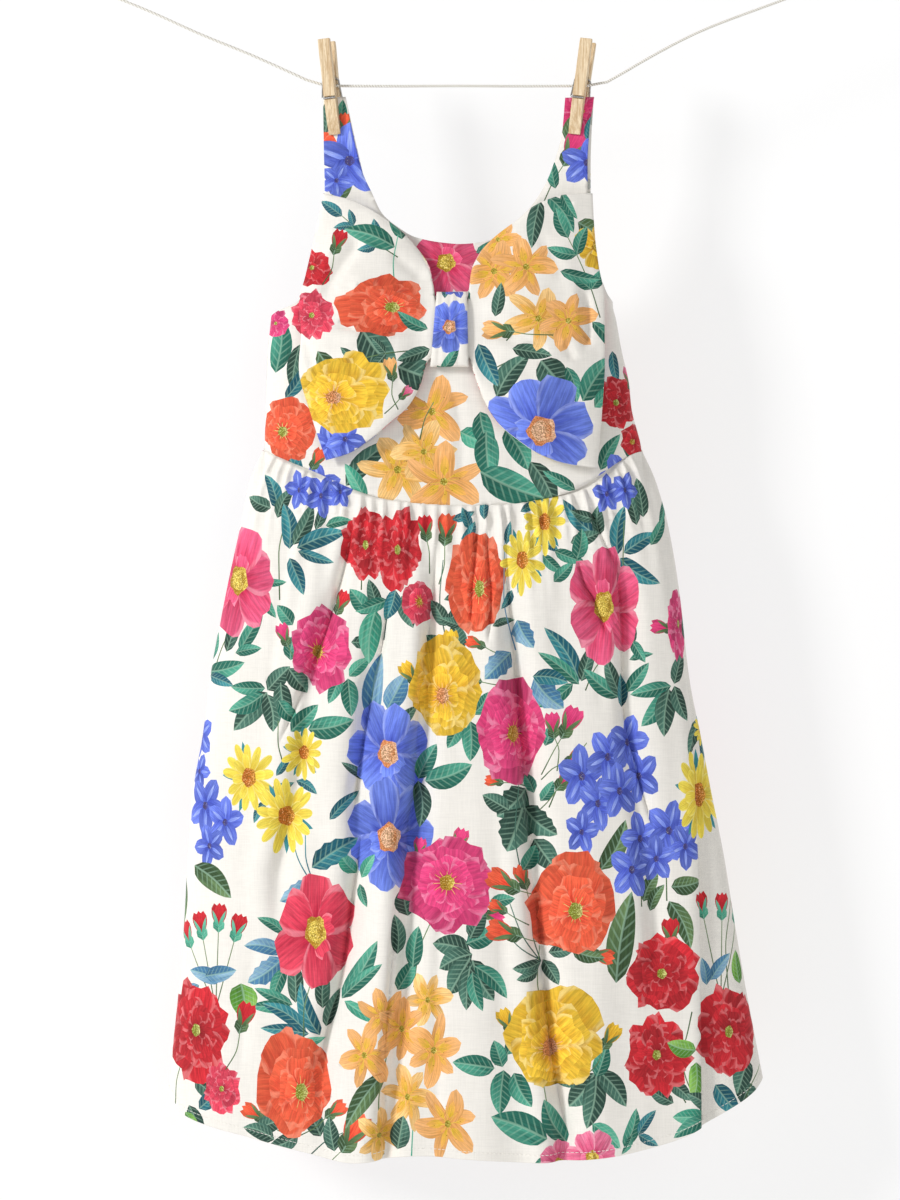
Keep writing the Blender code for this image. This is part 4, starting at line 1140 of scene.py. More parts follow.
# The print. Each row is a kind, its place in the photograph's pixels, its size there, its turn in
# degrees and its colour. A leaf's or spray's turn is the way it points; 90 is up. After that a flower
# may have a pair, its width and height as shares of its size; a leaf its width as a share of its
# length and the depth of its teeth; a spray its pairs of leaves and stalks their number.
SKIRT_PRINT = (
    # Under the waist at the left: long leaves with blue bells, then the magenta flower
    ("stem", 280, 600, 90, 84, "olive"), ("leaf", 278, 508, 36, 110, "blueteal"),
    ("leaf", 278, 518, 34, 62, "dark"), ("leaf", 272, 508, 28, 155, "dark", 0.55),
    ("leaf", 290, 549, 46, 97, "blueteal"), ("leaf", 294, 545, 46, 65, "dark"),
    ("leaf", 316, 530, 34, 75, "dark"), ("leaf", 326, 526, 28, 10, "teal"),
    ("leaf", 298, 548, 52, 18, "blueteal", 0.36), ("leaf", 299, 551, 38, -18, "blueteal", 0.28),
    ("leaf", 290, 558, 40, -68, "blueteal", 0.38), ("bell", 300, 490, 40, 30, "bell"),
    ("bell", 322, 496, 44, 60, "bell"), ("bell", 341, 492, 34, 10, "bell"),
    ("leaf", 262, 582, 26, 0, "teal"), ("leaf", 262, 592, 30, -60, "teal"),
    ("stem", 215, 670, 60, 60, "olive"), ("leaf", 227, 652, 44, 70, "dark"),
    ("leaf", 240, 651, 46, 58, "teal"), ("leaf", 236, 653, 28, 10, "teal"),
    ("leaf", 211, 672, 46, 12, "teal"), ("leaf", 211, 676, 32, -18, "blueteal"),
    ("leaf", 213, 660, 30, 70, "teal"), ("open", 239, 580, 108, 10, "magenta"),
    # The hot rose with its dark leaves
    ("leaf", 268, 690, 34, 45, "dark", 0.55), ("leaf", 266, 688, 36, 178, "teal", 0.4),
    ("leaf", 268, 692, 52, 228, "dark", 0.45), ("leaf", 264, 694, 40, 205, "teal", 0.45),
    ("leaf", 268, 694, 38, -80, "dark", 0.55), ("leaf", 282, 682, 38, -78, "dark", 0.5),
    ("leaf", 290, 668, 30, -55, "dark", 0.6), ("leaf", 280, 700, 30, -50, "teal", 0.5),
    ("leaf", 292, 660, 26, 80, "teal", 0.6), ("leaf", 294, 625, 26, 130, "teal", 0.6),
    ("leaf", 292, 731, 38, 45, "teal", 0.45), ("leaf", 308, 729, 48, 12, "teal", 0.48),
    ("leaf", 350, 676, 28, 42, "mint", 0.45), ("leaf", 349, 678, 38, -85, "teal", 0.45),
    ("leaf", 342, 676, 30, 245, "teal", 0.45), ("leaf", 352, 642, 24, 5, "dark", 0.55),
    ("bud", 286, 638, 26, 110, "hot"), ("bud", 340, 606, 28, 65, "red"),
    ("rose", 322, 648, 80, 20, "hot"),
    # Red roses in the gathers
    ("leaf", 370, 614, 32, 128, "teal", 0.55), ("leaf", 378, 612, 34, 105, "dark", 0.4),
    ("leaf", 376, 610, 54, -97, "mint", 0.4), ("leaf", 388, 600, 34, 200, "teal", 0.4),
    ("leaf", 376, 560, 40, 86, "lime", 0.35), ("stem", 384, 640, 66, 75, "dark"),
    ("stem", 362, 590, 60, 82, "olive"), ("cabbage", 366, 545, 78, 0, "red", (0.62, 1.0)),
    ("cabbage", 398, 550, 84, 30, "red", (0.6, 1.0)), ("leaf", 402, 596, 34, -70, "dark", 0.5),
    ("leaf", 396, 590, 32, 250, "blueteal", 0.5), ("rose", 418, 602, 42, 70, "crimson"),
    ("bud", 426, 532, 28, 95, "red"), ("bud", 446, 534, 34, 82, "coral"),
    ("stem", 446, 640, 80, 92, "dark"), ("leaf", 444, 600, 22, 20, "dark"),
    ("leaf", 446, 626, 30, 120, "dark", 0.5), ("leaf", 448, 622, 24, 40, "dark", 0.5),
    ("leaf", 440, 636, 34, -70, "dark", 0.5),
    # Blue flowers down the middle fold
    ("leaf", 388, 708, 40, 62, "blue", 0.55), ("leaf", 372, 722, 70, 82, "blue", 0.3),
    ("leaf", 370, 785, 48, 110, "dark", 0.28), ("leaf", 364, 779, 28, 140, "dark", 0.3),
    ("leaf", 331, 818, 40, 45, "blueteal", 0.28), ("leaf", 398, 728, 30, 50, "dark", 0.4),
    ("open", 389, 752, 100, 15, "blue"), ("open", 390, 835, 108, 50, "blue"),
    ("leaf", 418, 778, 40, 62, "teal", 0.45), ("leaf", 425, 780, 50, 20, "teal", 0.48),
    ("leaf", 418, 780, 46, -88, "dark", 0.4), ("leaf", 356, 872, 28, 125, "mint", 0.5),
    ("leaf", 362, 876, 28, 60, "mint", 0.4), ("leaf", 360, 882, 24, -70, "teal", 0.4),
    # Yellow rose, coral rose and daisies under the waist
    ("stem", 470, 712, 50, 100, "olive"), ("leaf", 460, 720, 30, 245, "teal", 0.5),
    ("leaf", 470, 720, 40, -90, "teal", 0.48), ("leaf", 472, 714, 28, 55, "teal", 0.5),
    ("leaf", 452, 650, 30, 150, "dark", 0.6), ("leaf", 458, 652, 30, 100, "dark", 0.6),
    ("bud", 412, 676, 28, 125, "yellow"), ("bud", 450, 646, 28, 85, "yellow"),
    ("bud", 478, 644, 22, 160, "coral"), ("bud", 474, 680, 22, 170, "yellow"),
    ("rose", 445, 688, 96, 0, "yellow"), ("leaf", 452, 520, 24, 20, "blueteal"),
    ("leaf", 470, 530, 24, 110, "blueteal"), ("leaf", 462, 544, 26, 60, "blueteal", 0.4),
    ("leaf", 484, 520, 26, 80, "blueteal"), ("leaf", 462, 626, 24, 160, "dark"),
    ("leaf", 492, 626, 24, 15, "dark"), ("rose", 477, 584, 98, 40, "coral", (0.56, 1.0)),
    ("stem", 516, 650, 110, 96, "blue"), ("leaf", 506, 545, 24, 80, "blueteal"),
    ("leaf", 520, 512, 26, 20, "blueteal"), ("leaf", 512, 590, 22, 240, "blueteal"),
    ("leaf", 538, 540, 24, -30, "blueteal"), ("leaf", 542, 555, 28, -40, "teal", 0.4),
    ("leaf", 553, 582, 28, 45, "teal", 0.45), ("leaf", 554, 551, 32, -20, "teal", 0.4),
    ("daisy", 544, 522, 66, 0, "daisy", (0.66, 1.0)), ("daisy", 522, 560, 68, 20, "daisy", (0.66, 1.0)),
    # The long leaves and bells under the waist at the right
    ("leaf", 596, 536, 50, 133, "blueteal", 0.3), ("leaf", 600, 535, 30, 95, "dark"),
    ("leaf", 570, 543, 32, 20, "dark", 0.45), ("leaf", 617, 555, 50, 82, "blueteal", 0.32),
    ("leaf", 624, 553, 40, 30, "blueteal", 0.4), ("leaf", 636, 525, 38, 112, "dark", 0.35),
    ("leaf", 643, 517, 40, 100, "dark", 0.35), ("leaf", 620, 558, 48, -32, "blueteal", 0.36),
    ("leaf", 596, 520, 28, 160, "dark", 0.4), ("leaf", 650, 545, 34, 60, "teal", 0.36),
    ("stem", 632, 600, 80, 96, "olive"), ("bell", 606, 494, 40, 20, "bell"),
    ("bell", 624, 490, 38, 70, "bell"), ("leaf", 662, 500, 26, 250, "teal"),
    # The magenta flower at the right
    ("stem", 584, 690, 40, 60, "olive"), ("leaf", 578, 681, 64, 123, "blueteal", 0.27),
    ("leaf", 578, 684, 52, 142, "teal", 0.26), ("leaf", 580, 681, 40, 72, "dark", 0.35),
    ("leaf", 572, 683, 44, 212, "teal", 0.3), ("leaf", 618, 697, 46, 142, "teal", 0.36),
    ("leaf", 620, 696, 42, 112, "dark", 0.36), ("leaf", 622, 707, 34, 92, "blueteal", 0.36),
    ("leaf", 628, 692, 36, 55, "teal", 0.36), ("leaf", 630, 660, 24, 15, "teal"),
    ("leaf", 627, 650, 32, 80, "dark"), ("leaf", 632, 640, 26, -60, "teal", 0.4),
    ("leaf", 576, 560, 32, 80, "teal", 0.5), ("open", 603, 606, 112, 25, "magenta", (0.62, 1.0)),
    # Dark leaves and a pink bud at the right side
    ("leaf", 670, 686, 42, 192, "teal", 0.36), ("leaf", 668, 690, 46, 232, "teal", 0.42),
    ("leaf", 668, 689, 48, -97, "dark", 0.45), ("leaf", 673, 684, 36, 70, "dark", 0.4),
    ("leaf", 673, 686, 38, -68, "dark", 0.4), ("bud", 664, 628, 26, 170, "hot"),
    ("cabbage", 678, 624, 60, 0, "hot", (0.5, 1.2)),
    # The hot rose in the middle with its buds and three-pointed leaves
    ("leaf", 511, 652, 38, 225, "blue", 0.6, 0.12), ("leaf", 517, 620, 32, -60, "blue", 0.6, 0.12),
    ("leaf", 533, 678, 42, -45, "blue", 0.6, 0.12), ("leaf", 532, 676, 36, -10, "blueteal", 0.45),
    ("stem", 548, 806, 74, 60, "olive"), ("leaf", 544, 745, 24, 75, "teal", 0.5),
    ("leaf", 540, 800, 24, 60, "teal", 0.5), ("leaf", 534, 792, 24, 120, "teal", 0.5),
    ("bud", 566, 726, 36, 62, "hot"), ("bud", 552, 728, 28, 95, "hot"),
    ("bud", 562, 780, 32, 50, "hot"), ("bud", 570, 758, 24, 35, "coral"),
    ("bud", 496, 780, 20, 170, "coral"), ("leaf", 526, 788, 40, 222, "dark", 0.75, 0.1),
    ("leaf", 522, 806, 46, 250, "dark", 0.75, 0.1), ("leaf", 524, 806, 42, -40, "dark", 0.6, 0.1),
    ("stem", 522, 880, 100, 92, "dark"), ("leaf", 508, 808, 30, 150, "dark", 0.6),
    ("leaf", 534, 838, 38, -55, "dark", 0.62), ("rose", 511, 731, 98, 60, "hot", (0.68, 1.0)),
    # Daisies at the left
    ("stem", 284, 760, 40, 96, "olive"), ("leaf", 278, 775, 26, 60, "blueteal"),
    ("leaf", 296, 780, 26, -30, "blueteal"), ("leaf", 300, 772, 24, 100, "blueteal"),
    ("leaf", 268, 800, 26, -120, "blueteal"), ("leaf", 272, 790, 24, 20, "blueteal"),
    ("daisy", 304, 752, 54, 0, "daisy"), ("daisy", 250, 777, 74, 10, "daisy"),
    ("stem", 312, 880, 60, 112, "blueteal"), ("stem", 314, 880, 56, 98, "blueteal"),
    ("daisy", 287, 815, 76, 30, "daisy"), ("bell", 203, 736, 48, 30, "bell"),
    ("bell", 200, 772, 36, 0, "bell"), ("bell", 206, 806, 58, 60, "bell"),
    ("bell", 226, 822, 50, 10, "bell"), ("bell", 210, 846, 44, 40, "bell"),
    ("leaf", 195, 866, 52, -37, "olive", 0.46), ("leaf", 186, 878, 54, -92, "olive", 0.3),
    # Blue bells at the right
    ("stem", 640, 905, 70, 84, "olive"), ("stem", 666, 900, 60, 84, "olive"),
    ("stem", 588, 812, 40, 100, "olive"), ("leaf", 598, 868, 56, 62, "olive", 0.36),
    ("leaf", 614, 980, 92, 80, "olive", 0.3), ("leaf", 642, 900, 32, 60, "olive", 0.5),
    ("leaf", 650, 910, 30, 62, "olive", 0.4), ("leaf", 670, 886, 32, 10, "olive", 0.6),
    ("leaf", 668, 900, 52, -66, "olive", 0.36), ("bell", 580, 775, 62, 20, "bell"),
    ("bell", 606, 756, 58, 60, "bell"), ("bell", 628, 742, 54, 5, "bell"),
    ("bell", 640, 776, 52, 40, "bell"), ("bell", 596, 802, 54, 70, "bell"),
    ("bell", 618, 790, 56, 30, "bell"), ("bell", 580, 830, 44, 10, "bell"),
    ("bell", 630, 868, 58, 80, "bell"), ("bell", 640, 838, 54, 30, "bell"),
    ("bell", 668, 830, 60, 0, "bell"), ("bell", 684, 846, 46, 50, "bell"),
    ("bell", 656, 858, 46, 20, "bell"),
    # The crimson flower with its blue and teal leaves
    ("leaf", 313, 866, 54, 33, "blueteal", 0.42, 0.1), ("leaf", 312, 880, 38, 212, "blue", 0.5, 0.1),
    ("leaf", 286, 932, 32, 150, "teal"), ("leaf", 284, 950, 40, 172, "blue", 0.4),
    ("leaf", 284, 956, 44, 215, "blue", 0.5, 0.12), ("leaf", 286, 966, 36, 250, "teal", 0.4),
    ("leaf", 297, 1000, 46, 94, "dark", 0.36), ("leaf", 294, 1002, 42, 158, "teal", 0.28),
    ("leaf", 294, 1006, 44, 178, "teal", 0.3), ("leaf", 308, 1027, 52, 150, "blueteal", 0.3),
    ("leaf", 311, 1030, 50, 175, "blueteal", 0.26), ("leaf", 321, 1032, 56, 110, "blueteal", 0.3),
    ("leaf", 326, 1024, 40, 70, "dark", 0.3), ("leaf", 324, 1005, 40, 84, "dark", 0.36),
    ("leaf", 342, 996, 70, 58, "teal", 0.27), ("leaf", 344, 993, 52, 40, "teal", 0.26),
    ("leaf", 345, 998, 50, -22, "mint", 0.26), ("leaf", 302, 1040, 24, 12, "mint", 0.4),
    ("stem", 306, 1040, 60, 84, "olive"), ("open", 317, 929, 116, 35, "crimson", (0.68, 1.0)),
    # Hot rose in the middle with its leaves
    ("stem", 414, 984, 70, 75, "olive"), ("leaf", 398, 987, 34, 60, "teal", 0.5),
    ("leaf", 413, 965, 42, 82, "teal", 0.42), ("leaf", 398, 951, 40, 94, "dark", 0.36),
    ("leaf", 408, 914, 32, 92, "dark", 0.6), ("bud", 419, 850, 24, 80, "hot"),
    ("bud", 458, 842, 28, 70, "hot"), ("bud", 490, 912, 24, -10, "hot"),
    ("leaf", 470, 948, 38, 168, "dark", 0.62), ("leaf", 472, 950, 36, 205, "dark", 0.62),
    ("leaf", 470, 954, 42, 240, "dark", 0.6), ("leaf", 472, 956, 46, -62, "dark", 0.5),
    ("leaf", 470, 962, 44, -95, "dark", 0.42), ("leaf", 474, 962, 46, -45, "teal", 0.36),
    ("leaf", 472, 968, 40, -75, "teal", 0.36), ("leaf", 466, 940, 34, 20, "teal", 0.6),
    ("leaf", 470, 935, 30, 60, "dark", 0.6), ("leaf", 488, 905, 28, 20, "teal", 0.5),
    ("rose", 447, 882, 92, 10, "hot", (0.94, 1.0)),
    # Coral rose and its buds
    ("stem", 541, 960, 70, 118, "dark"), ("stem", 541, 960, 60, 100, "dark"),
    ("stem", 540, 958, 50, 140, "dark"), ("stem", 542, 1010, 66, 92, "olive"),
    ("bud", 507, 882, 38, 150, "coral"), ("bud", 523, 878, 28, 110, "coral"),
    ("bud", 508, 930, 38, 165, "coral"), ("bud", 500, 906, 22, 150, "coral"),
    ("leaf", 541, 960, 30, 190, "dark", 0.45), ("leaf", 538, 968, 24, 200, "dark", 0.45),
    ("leaf", 543, 958, 28, -58, "dark", 0.5), ("leaf", 548, 950, 26, 12, "dark", 0.5),
    ("leaf", 522, 868, 28, 60, "teal", 0.6), ("bud", 596, 952, 28, -12, "coral"),
    ("leaf", 570, 946, 34, -15, "olive", 0.45), ("rose", 572, 904, 98, 0, "coral", (0.84, 1.0)),
    # Left side: green stalks and red roses
    ("stalks", 217, 1008, 100, 95, "red", 4), ("leaf", 222, 980, 36, 165, "blue", 0.45),
    ("leaf", 206, 976, 34, 12, "blue", 0.5), ("leaf", 200, 985, 26, 215, "blue", 0.45),
    ("leaf", 242, 982, 34, -88, "lime", 0.85), ("leaf", 190, 1105, 40, -70, "dark"),
    ("leaf", 196, 1080, 34, -40, "dark", 0.5), ("stem", 176, 1110, 50, 80, "olive"),
    ("leaf", 200, 1108, 32, 40, "blueteal", 0.5), ("leaf", 210, 1104, 30, 20, "dark", 0.4),
    ("cabbage", 197, 1030, 104, 0, "red", (0.74, 1.0)), ("cabbage", 223, 1087, 50, 40, "crimson"),
    ("bud", 244, 1020, 34, 70, "red"), ("leaf", 186, 1112, 26, -50, "lime"),
    # Bottom left: coral rose with buds, then the peach lilies
    ("bud", 258, 1112, 28, 150, "coral"), ("leaf", 258, 1126, 30, 20, "dark", 0.6),
    ("leaf", 276, 1136, 34, 160, "dark", 0.5), ("leaf", 300, 1130, 34, 205, "dark", 0.5),
    ("leaf", 322, 1132, 36, 120, "dark", 0.5), ("stem", 312, 1150, 40, 35, "dark"),
    ("bud", 334, 1108, 28, 35, "coral"), ("leaf", 336, 1146, 34, 100, "dark", 0.5),
    ("bud", 352, 1132, 46, 60, "coral"), ("leaf", 268, 1080, 26, 80, "dark", 0.4),
    ("rose", 298, 1083, 104, 60, "coral", (0.68, 1.0)), ("leaf", 384, 1068, 66, 236, "olive", 0.3),
    ("stem", 384, 1150, 100, 88, "olive"), ("stem", 412, 1150, 60, 80, "mint"),
    ("lily", 366, 1050, 66, 10, "peach"), ("lily", 384, 1010, 58, 40, "peach"),
    ("lily", 428, 996, 58, 60, "apricot"), ("lily", 402, 1026, 66, 30, "peach"),
    ("lily", 434, 1046, 68, 80, "peach"), ("lily", 408, 1092, 64, 50, "apricot"),
    ("lily", 448, 1118, 72, 10, "peach"), ("lily", 380, 1130, 52, 90, "apricot"),
    ("leaf", 398, 1144, 34, 80, "dark", 0.6),
    # Bottom middle: yellow rose with its leaves
    ("stem", 566, 1150, 80, 108, "olive"), ("leaf", 494, 1063, 42, 172, "teal", 0.5),
    ("leaf", 502, 1062, 28, 108, "teal", 0.6), ("leaf", 503, 1065, 44, -95, "teal", 0.5),
    ("leaf", 513, 1068, 38, -62, "teal", 0.55), ("leaf", 506, 1050, 26, 60, "teal", 0.5),
    ("leaf", 546, 1133, 60, 158, "teal", 0.5), ("leaf", 566, 1138, 50, 118, "teal", 0.42),
    ("leaf", 566, 1142, 36, 205, "teal", 0.45), ("leaf", 592, 1068, 42, 235, "dark", 0.6),
    ("leaf", 594, 1070, 54, -100, "dark", 0.42), ("leaf", 596, 1066, 46, -52, "dark", 0.45),
    ("leaf", 594, 1072, 34, 72, "teal", 0.5), ("leaf", 580, 1072, 28, 190, "dark", 0.5),
    ("bud", 507, 1020, 28, 115, "yellow"), ("bud", 606, 1036, 30, 55, "yellow"),
    ("rose", 553, 1036, 100, 20, "yellow", (0.9, 1.0)), ("leaf", 590, 1118, 38, -42, "mint", 0.42),
    ("leaf", 622, 1142, 40, 72, "teal", 0.36), ("leaf", 636, 1130, 30, 52, "blueteal", 0.36),
    ("leaf", 636, 1130, 24, -30, "blueteal", 0.4), ("leaf", 630, 1130, 22, 240, "teal"),
    ("open", 558, 1160, 50, 20, "pink"), ("open", 590, 1152, 56, 0, "pink"),
    # Bottom right: red roses
    ("stem", 690, 1010, 60, 250, "olive"), ("stem", 684, 1100, 90, 112, "olive"),
    ("stem", 700, 1110, 80, 108, "olive"), ("bud", 670, 935, 30, 92, "red"),
    ("cabbage", 661, 972, 84, 20, "red", (0.92, 1.0)), ("leaf", 672, 1100, 30, 150, "dark", 0.45),
    ("leaf", 668, 1080, 28, -40, "dark", 0.5), ("cabbage", 655, 1052, 84, 60, "red", (0.84, 1.0)),
    ("leaf", 694, 1048, 30, 165, "lime", 0.6), ("leaf", 694, 1060, 38, -95, "lime", 0.45),
    ("leaf", 704, 1114, 34, 180, "mint", 0.5), ("leaf", 709, 1108, 30, 145, "dark", 0.5),
    ("leaf", 711, 1106, 28, 40, "dark", 0.5), ("leaf", 709, 1117, 42, 205, "teal", 0.36),
    ("leaf", 711, 1111, 28, 2, "teal", 0.5),
)
# What is printed on the cloth beyond the pleat at the right side
PLEAT_PRINT = (
    ("leaf", 684, 640, 40, 80, "dark"), ("leaf", 700, 720, 40, 240, "dark", 0.4),
    ("leaf", 704, 762, 30, 100, "blueteal"), ("daisy", 700, 795, 84, 0, "daisy", (0.7, 1.1)),
    ("daisy", 712, 730, 36, 30, "daisy"), ("stem", 730, 1000, 100, 86, "olive"),
    ("stalks", 722, 1000, 96, 88, "red", 3), ("leaf", 712, 980, 34, 50, "blue", 0.4),
    ("leaf", 708, 985, 28, 100, "blue", 0.4), ("leaf", 740, 985, 34, 96, "lime", 0.4),
    ("leaf", 716, 1084, 40, -50, "blueteal", 0.5), ("leaf", 738, 1082, 44, -60, "dark", 0.5),
    ("stem", 742, 1110, 50, 60, "olive"), ("leaf", 748, 1060, 36, 250, "dark", 0.6),
    ("cabbage", 730, 1032, 100, 10, "red", (0.72, 1.0)),
)
BODICE_PRINT = (
    ("leaf", 324, 130, 34, 85, "dark", 0.5), ("open", 320, 142, 30, 20, "coral"),
    ("leaf", 340, 128, 32, 86, "teal", 0.4), ("bud", 344, 124, 24, 88, "coral"),
    ("open", 578, 108, 52, 20, "hot"), ("leaf", 566, 136, 34, 60, "olive", 0.5),
    ("leaf", 338, 200, 40, 70, "olive"), ("stem", 322, 214, 44, 60, "olive"),
    ("bell", 349, 158, 73, 20, "bell"), ("bell", 336, 178, 35, 60, "bell"),
    ("leaf", 339, 232, 31, -80, "lime", 0.8), ("bud", 338, 246, 28, 70, "red"),
    ("leaf", 330, 262, 26, 200, "olive"), ("cabbage", 314, 262, 42, 0, "red"),
    ("leaf", 276, 372, 59, 85, "teal"), ("leaf", 300, 344, 47, -100, "dark"),
    ("cabbage", 276, 322, 32, 0, "hot"), ("cabbage", 311, 316, 45, 40, "crimson"),
    ("leaf", 286, 398, 42, 60, "blueteal"), ("leaf", 300, 480, 52, 110, "blueteal"),
    ("rose", 287, 430, 60, 30, "coral"), ("bell", 318, 486, 46, 20, "bell"),
    ("bud", 316, 462, 25, 60, "coral"), ("leaf", 346, 486, 66, 44, "dark"),
    ("leaf", 366, 500, 42, 120, "mint"), ("stem", 440, 500, 60, 100, "olive"),
    ("lily", 432, 412, 74, 20, "peach"), ("lily", 398, 470, 76, 60, "apricot"),
    ("lily", 424, 452, 62, 0, "apricot"), ("lily", 444, 482, 74, 30, "peach"),
    ("stem", 420, 440, 40, 70, "olive"), ("leaf", 460, 432, 34, -20, "mint", 0.6),
    ("leaf", 478, 355, 54, -62, "blueteal"), ("leaf", 480, 412, 42, -70, "teal", 0.5),
    ("leaf", 486, 432, 50, -85, "teal", 0.5), ("leaf", 505, 430, 47, -60, "teal", 0.5),
    ("leaf", 480, 472, 71, -22, "teal", 0.45), ("leaf", 530, 462, 54, -62, "dark"),
    ("open", 446, 262, 69, 20, "magenta"), ("leaf", 476, 252, 33, 30, "teal"),
    ("leaf", 404, 232, 52, 200, "teal"), ("leaf", 410, 262, 50, -110, "blueteal"),
    ("bud", 571, 150, 40, 62, "hot"), ("leaf", 590, 140, 30, 80, "blueteal"),
    ("bell", 588, 160, 52, 10, "bell"), ("leaf", 556, 186, 35, 100, "teal"),
    ("leaf", 612, 350, 35, -80, "blueteal"), ("bud", 628, 380, 28, 100, "pink"),
    ("cabbage", 616, 402, 55, 0, "red"), ("leaf", 622, 440, 47, -60, "dark"),
    ("rose", 634, 440, 34, 0, "red"), ("leaf", 600, 470, 42, 60, "teal"),
    ("bell", 622, 478, 51, 40, "bell"), ("leaf", 575, 490, 38, 150, "teal"),
)
BOW_LEFT_PRINT = (
    ("spray", 398, 258, 69, 150, "blueteal", 2), ("leaf", 395, 248, 54, 160, "teal"),
    ("leaf", 402, 240, 47, 100, "teal"), ("stem", 396, 296, 60, 88, "mint"),
    ("cabbage", 312, 268, 42, 0, "red"), ("cabbage", 312, 316, 48, 40, "crimson"),
    ("bud", 337, 246, 28, 70, "red"), ("leaf", 362, 330, 54, -50, "dark", 0.6),
    ("spray", 410, 352, 69, 185, "dark", 2), ("leaf", 398, 368, 52, -20, "dark", 0.6),
    ("rose", 386, 308, 86, 10, "coral", (1.0, 0.68)), ("leaf", 318, 352, 52, -60, "olive"),
    ("bell", 330, 446, 46, 20, "bell"), ("bell", 346, 440, 40, 60, "bell"),
    ("rose", 341, 396, 90, 0, "yellow", (1.0, 0.84)), ("bud", 392, 374, 25, 100, "peach"),
    ("bud", 404, 396, 18, 45, "pink"), ("leaf", 428, 330, 35, 150, "teal"),
    ("leaf", 430, 350, 35, 200, "dark"),
)
BOW_RIGHT_PRINT = (
    ("leaf", 540, 200, 50, -100, "dark"), ("leaf", 548, 196, 45, -55, "teal"),
    ("leaf", 562, 192, 31, -60, "teal"), ("leaf", 578, 222, 33, -25, "olive", 0.6),
    ("open", 598, 246, 45, 20, "yellow"), ("spray", 600, 318, 85, 105, "teal", 2),
    ("leaf", 560, 272, 42, -10, "teal"), ("leaf", 592, 322, 42, -55, "teal"),
    ("stem", 506, 342, 60, 40, "olive"), ("stem", 486, 374, 66, 18, "olive"),
    ("leaf", 496, 398, 54, 52, "dark"), ("leaf", 540, 362, 40, -50, "dark", 0.75),
    ("leaf", 566, 368, 38, -75, "teal"), ("leaf", 582, 402, 57, 55, "teal"),
    ("leaf", 594, 408, 35, 40, "mint"), ("leaf", 512, 350, 40, -10, "dark"),
    ("lily", 498, 240, 47, 60, "peach"), ("lily", 494, 272, 66, 10, "peach"),
    ("lily", 526, 268, 64, 50, "peach"), ("lily", 538, 320, 66, 20, "apricot"),
    ("lily", 568, 322, 61, 80, "peach"), ("bud", 502, 332, 34, 175, "peach"),
    ("leaf", 495, 318, 35, 80, "dark"), ("open", 541, 432, 108, 10, "blue"),
    ("leaf", 548, 466, 35, -90, "dark"), ("leaf", 470, 300, 35, 120, "mint"),
    ("leaf", 478, 345, 47, -65, "blueteal"),
)
# Places on the knot and sizes are in flat millimetres here
KNOT_PRINT = (
    ("leaf", -6.0, -34.0, 26, 60, "teal"), ("leaf", 2.0, -46.0, 22, 120, "dark"),
    ("open", -1.0, 2.0, 40, 20, "blue"), ("leaf", -6.0, 24.0, 22, 100, "blueteal"),
    ("bell", 4.0, 36.0, 24, 0, "bell"),
)
# The all-over print's kinds of flower, in turn, and their colours
KINDS = ("rose", "cabbage", "open", "lily", "daisy", "bell", "rose", "open")
FLOWER_COLOURS = {
    "rose": ("coral", "hot", "yellow", "red", "cream"),
    "cabbage": ("red", "crimson"),
    "open": ("magenta", "blue", "crimson", "pink"),
    "lily": ("peach", "apricot"),
    "daisy": ("daisy",),
    "bell": ("bell",),
}
# What a rose's middle is where it isn't gold
ROSE_MIDDLES = {"coral": "green", "yellow": "pale", "cream": "pale"}
# How much narrower a flower on the gathered skirt is than it is tall, at two heights
SQUEEZE_HEIGHTS = (-800.0, -340.0)
SQUEEZE_SHARES = (0.84, 0.7)
# In an all-over print: height of a row as a share of the spacing, and sizes as shares of it too
ROW_SHARE = 0.82
SMALL_SIZES = {"lily": 0.66, "bell": 0.46, "daisy": 0.58}
BUD_SIZE = 16


def draw(design, row, at, size):
    """Draws one row of the print at a place in the flat cloth."""
    kind, colour = row[0], row[5]
    turn = math.radians(row[4])
    more = row[6] if len(row) > 6 else None
    teeth = row[7] if len(row) > 7 else 0.0
    if isinstance(more, tuple):
        design.squeeze = (np.array(at, float), np.array(more))
    if kind == "rose":
        tilt = (design.dice.uniform(-0.08, 0.08), design.dice.uniform(-0.1, 0.04))
        design.rose(at, size, colour, ROSE_MIDDLES.get(colour, "gold"), tilt, turn)
    elif kind == "cabbage":
        design.cabbage(at, size, colour, turn)
    elif kind == "open":
        petals, middle, width = (7, "pale", 0.36) if colour == "blue" else (6, "gold", 0.42)
        design.open_flower(at, size, colour, petals, middle, width, turn)
    elif kind == "daisy":
        design.daisy(at, size, colour, turn)
    elif kind == "lily":
        design.lily(at, size, colour, turn)
    elif kind == "bell":
        design.bell(at, size, colour, turn)
    elif kind == "bud":
        design.bud(at, turn, size, colour)
    elif kind == "leaf":
        slim = more or design.dice.uniform(0.3, 0.42)
        mirror = design.dice.choice((-1, 1))
        design.leaf(at, turn, size, size * slim, colour, teeth=teeth, mirror=mirror)
    elif kind == "spray":
        design.spray(at, turn, size, colour, more)
    elif kind == "stem":
        ahead, beside = turned(turn), turned(turn + math.pi / 2)
        at = np.array(at)
        design.stem([at, at + ahead * size * 0.5 + beside * size * 0.06, at + ahead * size], 1.0, colour)
    elif kind == "stalks":
        for k in range(more):
            lean = turn + (k - (more - 1) / 2) * 0.24
            far = size * design.dice.uniform(0.75, 1.0)
            tip = np.array(at) + turned(lean) * far
            design.stem([np.array(at), np.array(at) + turned(lean) * far * 0.5, tip], 0.9, "olive")
            design.bud(tip, lean, size * 0.3, colour, "mint", 0)
    design.squeeze = None


